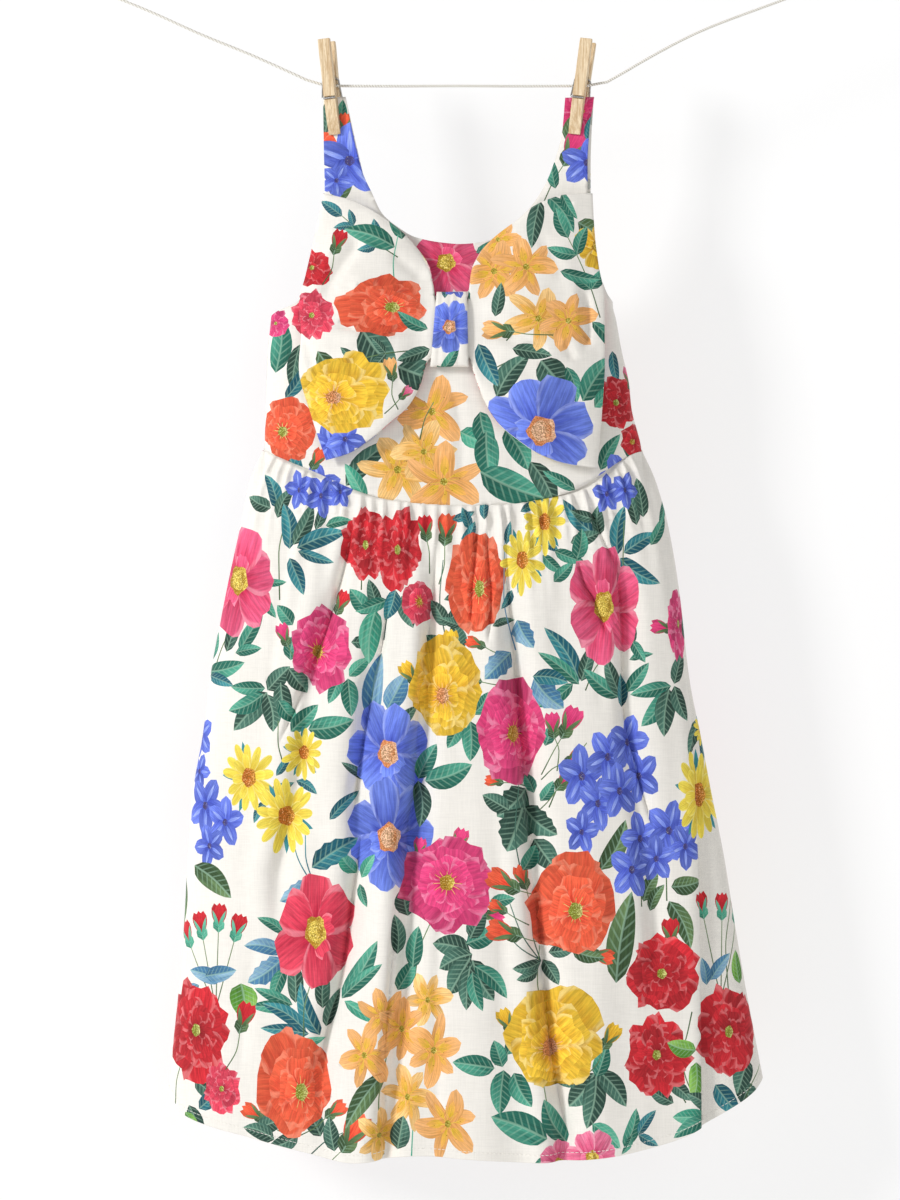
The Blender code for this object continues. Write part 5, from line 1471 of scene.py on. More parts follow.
def draw_photo(design, rows, place, squeezed=False):
    """Draws rows at their places. On the gathered skirt a flower is narrower than it is tall."""
    for row in rows:
        x, height = spot(row[1], row[2])
        if squeezed and row[0] in FLOWER_COLOURS and len(row) < 7:
            row = (*row, (float(np.interp(height, SQUEEZE_HEIGHTS, SQUEEZE_SHARES)), 1.0))
        draw(design, row, place(x, height), row[3] * SCALE)


def scatter(design, outline, spacing):
    """An all-over print of the same flowers for cloth that the photograph doesn't show."""
    low, high = outline.min(0), outline.max(0)
    rows = int((high[1] - low[1]) / (spacing * ROW_SHARE)) + 2
    columns = int((high[0] - low[0]) / spacing) + 2
    dice = design.dice
    spots = []
    for r in range(rows):
        for c in range(columns):
            x = low[0] + (c + 0.5 * (r % 2)) * spacing + dice.uniform(-0.2, 0.2) * spacing
            z = low[1] + r * spacing * ROW_SHARE + dice.uniform(-0.2, 0.2) * spacing
            spots.append((x, z))
    dice.shuffle(spots)
    kinds = list(LEAVES)
    for x, z in spots:
        for _ in range(2):
            angle = dice.uniform(0, 360)
            far = spacing * dice.uniform(0.15, 0.3)
            root = np.array((x, z)) + turned(math.radians(angle)) * far
            colour = dice.choice(kinds[:5])
            if dice.random() < 0.25:
                draw(design, ("spray", 0, 0, 0, angle, colour, 2), root, spacing * 0.62)
            else:
                draw(design, ("leaf", 0, 0, 0, angle, colour), root, spacing * dice.uniform(0.45, 0.6))
    for k, (x, z) in enumerate(spots):
        kind = KINDS[k % len(KINDS)]
        colour = dice.choice(FLOWER_COLOURS[kind])
        size = spacing * SMALL_SIZES.get(kind, dice.uniform(0.74, 0.98))
        draw(design, (kind, 0, 0, 0, dice.uniform(0, 90), colour), (x, z), size)
        if kind in SMALL_SIZES:
            near = np.array((x, z)) + turned(dice.uniform(0, 6)) * size * 0.75
            draw(design, (kind, 0, 0, 0, dice.uniform(0, 90), colour), near, size * 0.9)
        if dice.random() < 0.5:
            near = np.array((x, z)) + turned(dice.uniform(0, 6)) * spacing * 0.52
            turn = dice.uniform(0, 360)
            colour = dice.choice(("red", "pink", "coral", "yellow"))
            draw(design, ("bud", 0, 0, 0, turn, colour), near, BUD_SIZE)


def spread(outline, step_x, step_z, edge, jitter=0.18):
    """Points of a net inside an outline, a little uneven so that no rows show."""
    dice = random.Random(len(outline))
    low, high = outline.min(0), outline.max(0)
    xs = np.arange(low[0] + step_x / 2, high[0], step_x)
    zs = np.arange(low[1] + step_z / 2, high[1], step_z)
    grid = np.array([(x + (row % 2) * step_x / 2, z) for row, z in enumerate(zs) for x in xs])
    moves = np.array([(dice.uniform(-1, 1), dice.uniform(-1, 1)) for _ in grid])
    grid = grid + moves * (step_x * jitter, step_z * jitter)
    return kept_inside(grid, outline, edge)


# How many points are looked at together, to save memory
AT_ONCE = 2000


def inside(points, outline):
    """Whether each point lies inside a closed outline."""
    p, q = outline, np.roll(outline, -1, 0)
    level = p[:, 1] == q[:, 1]
    p, q = p[~level], q[~level]
    low, high = np.minimum(p[:, 1], q[:, 1]), np.maximum(p[:, 1], q[:, 1])
    rate = (q[:, 0] - p[:, 0]) / (q[:, 1] - p[:, 1])
    found = []
    for start in range(0, len(points), AT_ONCE):
        x, z = points[start : start + AT_ONCE, 0:1], points[start : start + AT_ONCE, 1:2]
        crosses = (z >= low) & (z < high) & (p[:, 0] + (z - p[:, 1]) * rate > x)
        found.append(crosses.sum(1) % 2 == 1)
    return np.concatenate(found)


def distance(points, outline):
    """How far each point is from a closed outline."""
    a, step = outline, np.roll(outline, -1, 0) - outline
    size = np.maximum((step**2).sum(1), 1e-12)
    found = []
    for start in range(0, len(points), AT_ONCE):
        away = points[start : start + AT_ONCE, None] - a
        t = np.clip((away * step).sum(2) / size, 0, 1)
        found.append(np.linalg.norm(away - t[:, :, None] * step, axis=2).min(1))
    return np.concatenate(found)


def kept_inside(points, outline, gap):
    """The points inside an outline that are further than a gap from it."""
    return points[inside(points, outline) & (distance(points, outline) > gap)]


def corner_looks(flat, corners, top, shapes):
    """Per corner of the cut net: the three colours of its shape, its place in the shape, and marks."""
    count = len(corners)
    looks = {name: np.zeros((count, 3), np.float32) for name in ("ink", "wash", "rim", "pen", "mark")}
    for name in ("ink", "wash", "rim"):
        looks[name][:] = IVORY
    order = np.argsort(top, kind="stable")
    bounds = np.searchsorted(top[order], np.arange(1, len(shapes) + 2))
    for k, row in enumerate(shapes):
        here = order[bounds[k] : bounds[k + 1]]
        if not len(here):
            continue
        points = flat[corners[here]] - row["base"]
        axis = row["axis"]
        size = max(np.linalg.norm(axis), 1e-6)
        ahead = axis / size
        u = points @ ahead / size
        v = points @ np.array([-ahead[1], ahead[0]]) - row["bend"] * np.sin(math.pi * np.clip(u, 0, 1))
        looks["pen"][here] = np.stack([u, v / row["half"], np.full(len(u), row["seed"])], -1)
        for name, colour in zip(("ink", "wash", "rim"), row["colours"]):
            looks[name][here] = colour
        looks["mark"][here] = (row["leaf"], row["dots"], row["petal"])
    printed = np.where(top > 0, 1.0, 0.0).astype(np.float32)
    return looks, printed


def signed_area(outline):
    """Twice an outline's area, below zero where it runs clockwise."""
    ahead = np.roll(outline, -1, 0)
    return np.sum(outline[:, 0] * ahead[:, 1] - ahead[:, 0] * outline[:, 1])


def anticlockwise(outline):
    """The outline, turned so that it runs anticlockwise, which the cutting needs."""
    return outline if signed_area(outline) > 0 else outline[::-1]


# Greatest side of a tile, the steps along its sides, and the free strip inside them
TILE = 78.0
TILE_STEP = 3.0
TILE_EDGE = 0.3


def cut(outline, points, shapes):
    """The flat net of a panel, cut along every printed shape: points, faces and each face's shape.

    It is worked out a tile at a time, because that is much quicker, and joined along the tiles.
    """
    outline = anticlockwise(outline)
    found = [anticlockwise(row["outline"]) for row in shapes]
    lows = np.array([f.min(0) for f in found])
    highs = np.array([f.max(0) for f in found])
    low, high = outline.min(0) - 1, outline.max(0) + 1
    counts = np.maximum(1, np.ceil((high - low) / TILE).astype(int))
    size = (high - low) / counts
    places, cells, top = [], [], []
    start = 0
    for column_of in range(counts[0]):
        for row_of in range(counts[1]):
            corner = low + size * (column_of, row_of)
            end = corner + size
            ring = [corner, (end[0], corner[1]), end, (corner[0], end[1]), corner]
            border = every_straight(ring, TILE_STEP)
            here = ((points > corner + TILE_EDGE) & (points < end - TILE_EDGE)).all(1)
            verts = [Vector(p) for p in (*outline, *border, *points[here])]
            count = len(outline)
            faces = [list(range(count)), list(range(count, count + len(border)))]
            names = [0, 0]
            for k in np.flatnonzero(((highs > corner) & (lows < end)).all(1)):
                faces.append(list(range(len(verts), len(verts) + len(found[k]))))
                names.append(k + 1)
                verts.extend(Vector(p) for p in found[k])
            made, _, made_cells, _, _, sources = delaunay_2d_cdt(verts, [], faces, 1, 1e-4)
            made = np.array([tuple(p) for p in made])
            for cell, source in zip(made_cells, sources):
                if 0 in source and 1 in source:
                    cells.append([start + k for k in cell])
                    top.append(names[max(source)])
            places.append(made)
            start += len(made)
    flat = np.concatenate(places)
    _, first, same = np.unique(np.round(flat, 3), axis=0, return_index=True, return_inverse=True)
    same = same.reshape(-1)
    joined = [[int(same[k]) for k in cell] for cell in cells]
    good = [k for k, cell in enumerate(joined) if len(set(cell)) == len(cell)]
    joined = [joined[k] for k in good]
    top = np.array(top)[good]
    flat = flat[first]
    used = np.unique(np.concatenate([np.array(cell) for cell in joined]))
    place = np.full(len(flat), -1)
    place[used] = np.arange(len(used))
    return flat[used], [[int(place[k]) for k in cell] for cell in joined], top


def every_straight(points, spacing):
    """A closed run of straight sides, cut into equal steps, without its last point."""
    found = []
    for a, b in zip(points, points[1:]):
        a, b = np.array(a, float), np.array(b, float)
        count = max(1, round(np.linalg.norm(b - a) / spacing))
        found.extend(a + (b - a) * k / count for k in range(count))
    return np.array(found)


def mesh_object(name, places, faces, finishes, smooth_it=True):
    mesh = bpy.data.meshes.new(name)
    mesh.from_pydata([tuple(p) for p in np.asarray(places, float) * MM], [], faces)
    for finish in finishes:
        mesh.materials.append(finish)
    mesh.polygons.foreach_set("use_smooth", [smooth_it] * len(mesh.polygons))
    made = bpy.data.objects.new(name, mesh)
    bpy.context.scene.collection.objects.link(made)
    return made


def give(mesh, looks, printed):
    """Puts the looks on the mesh's corners, for the cloth's material to read."""
    for key, values in looks.items():
        layer = mesh.attributes.new(key, "FLOAT_VECTOR", "CORNER")
        layer.data.foreach_set("vector", values.ravel())
    layer = mesh.attributes.new("printed", "FLOAT", "CORNER")
    layer.data.foreach_set("value", printed)


def panel(name, outline, points, design, surface, finishes, flip=False):
    """A printed panel: its flat net is cut along the print's shapes, then laid on its surface."""
    flat, faces, top = cut(outline, points, design.shapes)
    sizes = np.array([len(face) for face in faces])
    if flip:
        faces = [face[::-1] for face in faces]
    corners = np.concatenate([np.array(face) for face in faces])
    looks, printed = corner_looks(flat, corners, np.repeat(top, sizes), design.shapes)
    made = mesh_object(name, surface(flat), faces, finishes)
    give(made.data, looks, printed)
    return made


def weld(objects, name, distance_mm):
    """Joins meshes into one and closes the seam between them."""
    bm = bmesh.new()
    for made in objects:
        bm.from_mesh(made.data)
    bmesh.ops.remove_doubles(bm, verts=bm.verts, dist=distance_mm * MM)
    joined = objects[0]
    finishes = list(joined.data.materials)
    mesh = bpy.data.meshes.new(name)
    bm.to_mesh(mesh)
    bm.free()
    for finish in finishes:
        mesh.materials.append(finish)
    for made in objects[1:]:
        bpy.data.objects.remove(made, do_unlink=True)
    joined.data = mesh
    joined.name = name
    mesh.polygons.foreach_set("use_smooth", [True] * len(mesh.polygons))
    return joined


def thicken(made, thickness):
    """Gives a shell its thickness. Its inside has the reverse of the cloth."""
    solid = made.modifiers.new("thickness", "SOLIDIFY")
    solid.thickness = thickness * MM
    solid.offset = -1.0
    solid.material_offset = 1
    solid.material_offset_rim = 0
    return made


# Materials


def feed(tree, node, inputs):
    """Links a socket, or sets a plain value, at each given input of a node."""
    for key, value in inputs.items():
        if isinstance(value, bpy.types.NodeSocket):
            tree.links.new(value, node.inputs[key])
        else:
            node.inputs[key].default_value = value


def add_node(tree, kind, inputs=None, **settings):
    made = tree.nodes.new(kind)
    for key, value in settings.items():
        setattr(made, key, value)
    feed(tree, made, inputs or {})
    return made


def calc(tree, operation, *values, clamp=False):
    inputs = dict(enumerate(values))
    return add_node(tree, "ShaderNodeMath", inputs, operation=operation, use_clamp=clamp).outputs[0]


def times(tree, a, b):
    return calc(tree, "MULTIPLY", a, b)


def ramp(tree, value, low, high, to_low=0.0, to_high=1.0):
    inputs = {0: value, 1: low, 2: high, 3: to_low, 4: to_high}
    return add_node(tree, "ShaderNodeMapRange", inputs, interpolation_type="SMOOTHSTEP").outputs[0]


def blend(tree, share, a, b):
    made = add_node(tree, "ShaderNodeMix", {0: share, 6: a, 7: b}, data_type="RGBA")
    return made.outputs[2]


def noise(tree, vector, scale, detail=2.0, rough=0.5):
    inputs = {"Vector": vector, "Scale": scale, "Detail": detail, "Roughness": rough}
    return add_node(tree, "ShaderNodeTexNoise", inputs).outputs["Fac"]


def bump(tree, height, strength, distance):
    inputs = {"Height": height, "Strength": strength, "Distance": distance}
    return add_node(tree, "ShaderNodeBump", inputs).outputs[0]


def attribute(tree, name, output="Vector"):
    return add_node(tree, "ShaderNodeAttribute", attribute_name=name).outputs[output]


def numbers(tree, vector):
    """The three numbers of a vector."""
    return add_node(tree, "ShaderNodeSeparateXYZ", {0: vector}).outputs


def scaled(tree, vector, x, y, z):
    inputs = {0: vector, 1: (x, y, z)}
    return add_node(tree, "ShaderNodeVectorMath", inputs, operation="MULTIPLY").outputs[0]


def lit(tree, colour, light):
    """A colour made lighter or darker."""
    return add_node(tree, "ShaderNodeVectorMath", {0: colour, 3: light}, operation="SCALE").outputs[0]


def seen_from_behind(tree):
    return add_node(tree, "ShaderNodeNewGeometry").outputs["Backfacing"]


def new_material(name):
    """A material, its node tree, its shader, and the place of each of its points."""
    made = bpy.data.materials.new(name)
    made.use_nodes = True
    tree = made.node_tree
    place = add_node(tree, "ShaderNodeTexCoord").outputs["Object"]
    return made, tree, tree.nodes["Principled BSDF"], place


def rgba(code):
    return (*paint(code), 1.0)


# Distance between threads across and down, in metres
WARP = 0.00062
WEFT = 0.00058


def weave(tree, place):
    """Threads of a plain weave, as heights, and its uneven slubs."""
    x, _, z = numbers(tree, place)
    warp = calc(tree, "SINE", times(tree, x, 2 * math.pi / WARP))
    weft = calc(tree, "SINE", times(tree, z, 2 * math.pi / WEFT))
    across = noise(tree, scaled(tree, place, 60, 300, 1500), 1.0, 3.0)
    down = noise(tree, scaled(tree, place, 1500, 300, 60), 1.0, 3.0)
    return times(tree, warp, weft), calc(tree, "ADD", across, down)


# The petal outline's own shape, as in Print.petal, so that the shader finds its rim
PETAL_LOW = 0.58
PETAL_PEAK = 0.415
# Leaf ribs to a leaf's length and how far they slant, then how strong the ribs and the spine are
RIBS = 8.0
RIB_SLANT = 1.5
RIB_INK = 0.27
SPINE_INK = 0.42
# How much of the print the pale reverse covers
REVERSE_SHARE = 0.62


def vein_ink(tree, ahead, side):
    """How strong a leaf's veins are, at a place along it and to its side."""
    ribs = calc(tree, "SUBTRACT", times(tree, ahead, RIBS), times(tree, side, RIB_SLANT))
    away = calc(tree, "ABSOLUTE", calc(tree, "SUBTRACT", calc(tree, "FRACT", ribs), 0.5))
    ribs = times(tree, ramp(tree, away, 0.05, 0.2, RIB_INK, 0.0), ramp(tree, side, 0.5, 1.0, 1.0, 0.2))
    return calc(tree, "MAXIMUM", ribs, ramp(tree, side, 0.03, 0.12, SPINE_INK, 0.0))


def rim_share(tree, ahead, side):
    """How near a place is to a petal's rim: 1 at the outline."""
    far = times(tree, ahead, calc(tree, "SUBTRACT", 1.0, ahead))
    wide = calc(tree, "SQRT", calc(tree, "MAXIMUM", far, 0.0))
    wide = times(tree, wide, calc(tree, "POWER", calc(tree, "MAXIMUM", ahead, 0.001), PETAL_LOW))
    wide = calc(tree, "MAXIMUM", calc(tree, "DIVIDE", wide, PETAL_PEAK), 0.02)
    return calc(tree, "DIVIDE", side, wide)


def streaks(tree, pen, stretch, slim, scale, rough):
    """Brush marks that run along a shape."""
    inputs = {0: times(tree, pen[0], stretch), 1: times(tree, pen[1], slim), 2: pen[2]}
    place = add_node(tree, "ShaderNodeCombineXYZ", inputs).outputs[0]
    return noise(tree, place, scale, 3.0, rough)


def print_colour(tree, place):
    """Colour of the printed shapes, from what each corner says of its shape."""
    pen = numbers(tree, attribute(tree, "pen"))
    leaf, dots, petal = numbers(tree, attribute(tree, "mark"))
    ink, wash, rim = (attribute(tree, key) for key in ("ink", "wash", "rim"))
    ahead = pen[0]
    side = calc(tree, "ABSOLUTE", pen[1])
    broad = streaks(tree, pen, 1.5, 2.2, 1.6, 0.6)
    fine = streaks(tree, pen, 1.6, 9.0, 1.0, 0.65)
    shift = times(tree, calc(tree, "SUBTRACT", broad, 0.5), 1.7)
    colour = blend(tree, calc(tree, "ADD", times(tree, ahead, 1.1), shift, clamp=True), ink, wash)
    colour = lit(tree, colour, ramp(tree, fine, 0.25, 0.75, 0.72, 1.2))
    colour = blend(tree, times(tree, vein_ink(tree, ahead, side), leaf), colour, rgba("a9d0b6"))
    grain = noise(tree, place, 1100.0, 2.0, 0.6)
    colour = blend(tree, times(tree, ramp(tree, grain, 0.42, 0.6, 0.0, 0.75), dots), colour, rgba("6f5412"))
    colour = blend(tree, times(tree, ramp(tree, grain, 0.3, 0.44, 0.6, 0.0), dots), colour, rgba("fbf0b0"))
    edge = ramp(tree, rim_share(tree, ahead, side), 0.8, 1.02)
    edge = times(tree, edge, ramp(tree, broad, 0.3, 0.6, 0.1, 0.55))
    colour = blend(tree, times(tree, edge, petal), colour, rim)
    base = times(tree, ramp(tree, ahead, 0.0, 0.45, 0.4, 0.0), petal)
    return blend(tree, base, colour, lit(tree, ink, 0.55))


def printed_cotton(name, reverse):
    """Ivory cotton with the print, and faint painted shade along its weave. The reverse is paler."""
    made, tree, shader, place = new_material(name)
    ground = blend(tree, noise(tree, place, 60.0, 3.0), rgba("e8e4dc"), rgba("efebe4"))
    colour = blend(tree, attribute(tree, "printed", "Fac"), ground, print_colour(tree, place))
    threads, slubs = weave(tree, place)
    # The slubs give the yarn's own uneven tone. The threads' term makes the cloth lighter where the weave
    # stands up and darker where it dips: painted shade that follows the weave's bumps.
    slub_tone_and_weave_shade = calc(tree, "ADD", ramp(tree, slubs, 0.7, 1.3, 0.955, 1.03), times(tree, threads, 0.014))
    share = REVERSE_SHARE if reverse else times(tree, seen_from_behind(tree), REVERSE_SHARE)
    height = calc(tree, "ADD", times(tree, threads, 0.35), times(tree, slubs, 0.8))
    feed(tree, shader, {
        "Base Color": blend(tree, share, lit(tree, colour, slub_tone_and_weave_shade), rgba("e9e5dd")),
        "Normal": bump(tree, height, 0.3, 0.00012),
        "Roughness": ramp(tree, slubs, 0.7, 1.3, 0.84, 0.74),
        "Sheen Weight": 0.12,
        "Sheen Roughness": 0.5,
        "Specular IOR Level": 0.25,
    })
    return made


def birch(name):
    """Pale peg wood: fine grain along the leg, with small pores and a few darker streaks."""
    made, tree, shader, place = new_material(name)
    long_grain = noise(tree, scaled(tree, place, 900, 900, 45), 1.0, 4.0, 0.6)
    rings = noise(tree, scaled(tree, place, 260, 260, 12), 1.0, 3.0)
    pores = noise(tree, scaled(tree, place, 2600, 2600, 220), 1.0, 1.0)
    colour = blend(tree, ramp(tree, long_grain, 0.3, 0.7), rgba("c9ab83"), rgba("ecd9b8"))
    colour = blend(tree, ramp(tree, rings, 0.5, 0.72, 0.0, 0.45), colour, rgba("b48f63"))
    feed(tree, shader, {
        "Base Color": blend(tree, ramp(tree, pores, 0.62, 0.7, 0.0, 0.35), colour, rgba("8a6a44")),
        "Normal": bump(tree, long_grain, 0.35, 0.0003),
        "Roughness": ramp(tree, long_grain, 0.3, 0.7, 0.72, 0.56),
        "Specular IOR Level": 0.3,
    })
    return made


def spring_wire(name):
    """Drawn steel wire, with fine marks round it."""
    made, tree, shader, place = new_material(name)
    drawn = noise(tree, scaled(tree, place, 700, 2400, 700), 1.0, 3.0)
    feed(tree, shader, {
        "Base Color": blend(tree, drawn, rgba("8f8f90"), rgba("cfcfcd")),
        "Roughness": ramp(tree, drawn, 0.3, 0.7, 0.24, 0.42),
        "Metallic": 1.0,
    })
    return made


def cotton_line(name):
    """White cord, twisted of three strands, with painted shade in the grooves between them."""
    made, tree, shader, place = new_material(name)
    x, _, z = numbers(tree, place)
    run = times(tree, x, 2 * math.pi / 0.0021)
    lean = times(tree, z, 2 * math.pi / 0.0030)
    strand_bumps_and_groove_shade = ramp(tree, calc(tree, "SINE", calc(tree, "ADD", run, lean)), -1.0, 0.4)
    fuzz = noise(tree, place, 2500.0, 2.0)
    # The cord darkens in the grooves between its strands: painted shade, from the same wave that raises the
    # strands in the bump.
    colour = blend(tree, strand_bumps_and_groove_shade, rgba("b9b4a8"), rgba("f1eee6"))
    feed(tree, shader, {
        "Base Color": blend(tree, ramp(tree, fuzz, 0.4, 0.7, 0.0, 0.2), colour, rgba("ffffff")),
        "Normal": bump(tree, strand_bumps_and_groove_shade, 0.7, 0.0003),
        "Roughness": 0.8,
    })
    return made


def sewing_thread(name):
    """Ivory thread with a soft sheen."""
    made, tree, shader, place = new_material(name)
    ply = noise(tree, scaled(tree, place, 4000, 4000, 4000), 1.0, 2.0)
    feed(tree, shader, {
        "Base Color": blend(tree, ply, rgba("e4dfd5"), rgba("fffdf8")),
        "Roughness": ramp(tree, ply, 0.3, 0.7, 0.5, 0.7),
    })
    return made


# How bright the world's light is, and how much the wall and floor glow
WORLD_LIGHT = 0.35
WALL_GLOW = 0.67


def studio_wall(name):
    """Matt white wall. From behind it lets the view through, so that the dress's back can be seen."""
    made, tree, shader, place = new_material(name)
    feed(tree, shader, {
        "Base Color": blend(tree, noise(tree, place, 3.0, 2.0), rgba("989898"), rgba("9d9d9d")),
        "Roughness": 0.9,
        "Specular IOR Level": 0.1,
        "Emission Color": (1.0, 1.0, 1.0, 1.0),
        "Emission Strength": WALL_GLOW,
    })
    clear = add_node(tree, "ShaderNodeBsdfTransparent").outputs[0]
    both = add_node(tree, "ShaderNodeMixShader", {0: seen_from_behind(tree), 1: shader.outputs[0], 2: clear})
    tree.links.new(both.outputs[0], tree.nodes["Material Output"].inputs[0])
    return made


# Camera and line


def place_in_scene(name, data):
    made = bpy.data.objects.new(name, data)
    bpy.context.scene.collection.objects.link(made)
    return made


def make_camera():
    data = bpy.data.cameras.new("camera")
    data.lens = CAMERA_LENS
    made = place_in_scene("camera", data)
    made.location = CAMERA_PLACE
    made.rotation_euler = (math.pi / 2, 0, 0)
    bpy.context.scene.camera = made


def curve_object(name, route, diameter, finish):
    """A round cord or wire along a route."""
    curve = bpy.data.curves.new(name, "CURVE")
    curve.dimensions = "3D"
    curve.bevel_depth = diameter / 2 * MM
    curve.bevel_resolution = 4
    curve.use_fill_caps = True
    spline = curve.splines.new("POLY")
    spline.points.add(len(route) - 1)
    for point, place in zip(spline.points, route):
        point.co = (*(np.array(place, float) * MM), 1.0)
    spline.use_smooth = True
    curve.materials.append(finish)
    return place_in_scene(name, curve)


def make_line(finish):
    """The taut line and the tied loop at each end."""
    route = along([(x, 0.0, z) for x, z in LINE_ROUTE], np.linspace(0, 1, 40))
    line = curve_object("clothesline", route, LINE_DIAMETER, finish)
    loops = []
    for where, end, next_one in (("left", 0, 1), ("right", -1, -2)):
        inward = route[next_one] - route[end]
        inward = inward / np.linalg.norm(inward)
        made = end_loop(f"loop_{where}", route[end], inward, finish)
        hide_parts(f"line_loop_{where}")
        loops.append(made)
    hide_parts("line")
    return [line, *loops]


# How far round a loop its knot reaches, in radians, and how deep the wraps of the knot are
KNOT_REACH = 0.3
KNOT_WRAPS = 0.12


def end_loop(name, end, inward, finish):
    """A small loop tied at the end of the line, thicker at its knot."""
    rows, sides = 60, 14
    places = []
    for k in range(rows):
        turn = 2 * math.pi * k / rows
        near = math.remainder(turn, 2 * math.pi)
        knot = math.exp(-((near / KNOT_REACH) ** 2))
        wraps = 1 + KNOT_WRAPS * math.sin(near * 26) * knot
        thick = LINE_DIAMETER / 2 + KNOT_BULGE * knot * wraps
        for j in range(sides):
            around = 2 * math.pi * j / sides
            far = LOOP_RADIUS + thick * math.cos(around)
            places.append((far * math.cos(turn), thick * math.sin(around), far * math.sin(turn)))
    centre = np.array(end) - inward * (LOOP_RADIUS + LINE_DIAMETER / 2 + KNOT_BULGE + SEAM)
    angle = math.atan2(inward[2], inward[0])
    turned_to = Matrix.Translation(Vector(centre)) @ Matrix.Rotation(-angle, 4, "Y")
    places = [turned_to @ Vector(p) for p in places]
    faces = []
    for k in range(rows):
        for j in range(sides):
            a, b = (k + 1) % rows * sides, k * sides
            faces.append([b + j, b + (j + 1) % sides, a + (j + 1) % sides, a + j])
    return mesh_object(name, places, faces, [finish])


# Pegs

WORN_EDGE = 0.55


def peg_matrix(side):
    middle, lean = PEGS[side]
    turn = Matrix.Rotation(lean, 4, "Y") @ Matrix.Rotation(-PEG_TWIST, 4, "Z")
    return Matrix.Translation((middle, 0, PEG_PIVOT_HEIGHT)) @ turn


def make_leg(side, front, where, finish):
    """One wooden leg: its outline, pushed across the peg's width, with worn edges."""
    notch = COIL_RADIUS + WIRE / 2 + WIRE_CLEAR
    start = math.asin(JAW / notch)
    arc = [(-notch * math.cos(a), notch * math.sin(a)) for a in np.linspace(start, math.pi - start, 13)]
    ring = [(front * out, up) for up, out in (*LEG_OUTSIDE, *arc)]
    count = len(ring)
    sides = (-PEG_WIDTH / 2, PEG_WIDTH / 2)
    places = [peg_matrix(side) @ Vector((x, y, z)) for x in sides for y, z in ring]
    faces = [list(range(count)), [count + k for k in reversed(range(count))]]
    for k in range(count):
        j = (k + 1) % count
        faces.append([k, count + k, count + j, j])
    made = mesh_object(f"leg_{side}_{where}", places, faces, [finish], False)
    bm = bmesh.new()
    bm.from_mesh(made.data)
    bmesh.ops.recalc_face_normals(bm, faces=bm.faces)
    bm.to_mesh(made.data)
    bm.free()
    edge = made.modifiers.new("worn edge", "BEVEL")
    edge.width = WORN_EDGE * MM
    edge.segments = 3
    edge.limit_method = "ANGLE"
    edge.angle_limit = math.radians(28)
    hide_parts(f"peg_{side}_{where}")
    return made


def wire_route():
    """The spring: a coil across the peg, then an arm down each side and over each leg's groove."""
    beside = PEG_WIDTH / 2 + WIRE / 2 + WIRE_CLEAR
    groove = GROOVE_FLOOR + WIRE / 2 + WIRE_CLEAR
    turns = np.linspace(0, 2 * math.pi * COIL_TURNS, round(28 * COIL_TURNS) + 1)
    coil = []
    for t in turns:
        x = -COIL_HALF_WIDTH + 2 * COIL_HALF_WIDTH * t / turns[-1]
        coil.append((x, -COIL_RADIUS * math.cos(t), COIL_RADIUS * math.sin(t)))
    arm = [
        (-beside + 1.3, -COIL_RADIUS, 0.0),
        (-beside, -COIL_RADIUS - 0.3, -1.4),
        (-beside, -groove + 0.6, WIRE_GROOVE + 1.2),
        (-beside + 0.6, -groove, WIRE_GROOVE),
        (0.0, -groove, WIRE_GROOVE),
        (PEG_WIDTH / 2 - 0.3, -groove, WIRE_GROOVE),
    ]
    arm = [tuple(p) for p in along(arm, np.linspace(0, 1, 30))]
    other = [(-x, -y, z) for x, y, z in arm]
    return arm[::-1] + coil + other


# Cloth panels


def bodice_outline(side):
    """Round the bodice's flat cloth: waist seam, left side, left strap, neck, right strap, right side."""
    if side < 0:
        neck, arm = NECK_FRONT, ARM_RIGHT_FRONT
    else:
        neck, arm = NECK_BACK, ARM_RIGHT_BACK
    across = spaced(150, -1.0)
    height = waist_height(across, side)
    middle, half, _ = section(height, BODICE_SIDES, side)
    seam = np.stack([middle + half * across, height], -1)
    low, high = seam[-1][1], seam[0][1]
    left = [(read(BODICE_SIDES, z, 1) + WALL, z) for z in np.linspace(low, ARM_LEFT[0][1], 40)]
    right = [(read(BODICE_SIDES, z, 2) - WALL, z) for z in np.linspace(arm[-1][1], high, 40)]
    cap_left = [ARM_LEFT[-1], neck[0]]
    cap_right = [neck[-1], arm[0]]
    parts = [left, ARM_LEFT, cap_left, neck, cap_right, arm, right]
    outline = np.concatenate([seam[:-1]] + [every(part, EDGE_NET)[:-1] for part in parts])
    flat = to_flat(outline[:, 0], outline[:, 1], BODICE_SIDES, side)
    gaps = np.linalg.norm(flat - np.roll(flat, 1, 0), axis=1)
    return flat[gaps > 0.2]


# Rows of points close together where the strap turns over the line, and the net's top below them
STRAP_ROWS = (-8.9, -9.3, -9.8, -10.4, -11.2)
STRAP_NET_TOP = -12.0
BODICE_SCATTER = 66.0


def front_or_back(side):
    return "front" if side < 0 else "back"


def make_bodice(side, finishes):
    outline = bodice_outline(side)
    points = spread(outline, NET, NET, 1.4)
    rows = []
    for height in STRAP_ROWS:
        xs = np.arange(-104.0, 106.0, EDGE_NET)
        rows.append(to_flat(xs, np.full(len(xs), height), BODICE_SIDES, side))
    rows = np.concatenate(rows)
    points = np.concatenate([points[points[:, 1] < STRAP_NET_TOP], rows[inside(rows, outline)]])
    points = points[distance(points, outline) > 0.25]
    design = Print(40 + side)
    if side < 0:
        draw_photo(design, BODICE_PRINT, lambda x, z: to_flat(np.array(x), np.array(z), BODICE_SIDES, -1))
    else:
        scatter(design, outline, BODICE_SCATTER)
    where = front_or_back(side)
    surface = lambda flat: bodice_point(flat, side)
    made = panel(f"{where}_bodice", outline, points, design, surface, finishes, side > 0)
    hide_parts(f"bodice_{where}")
    return thicken(made, BODICE_THICK)


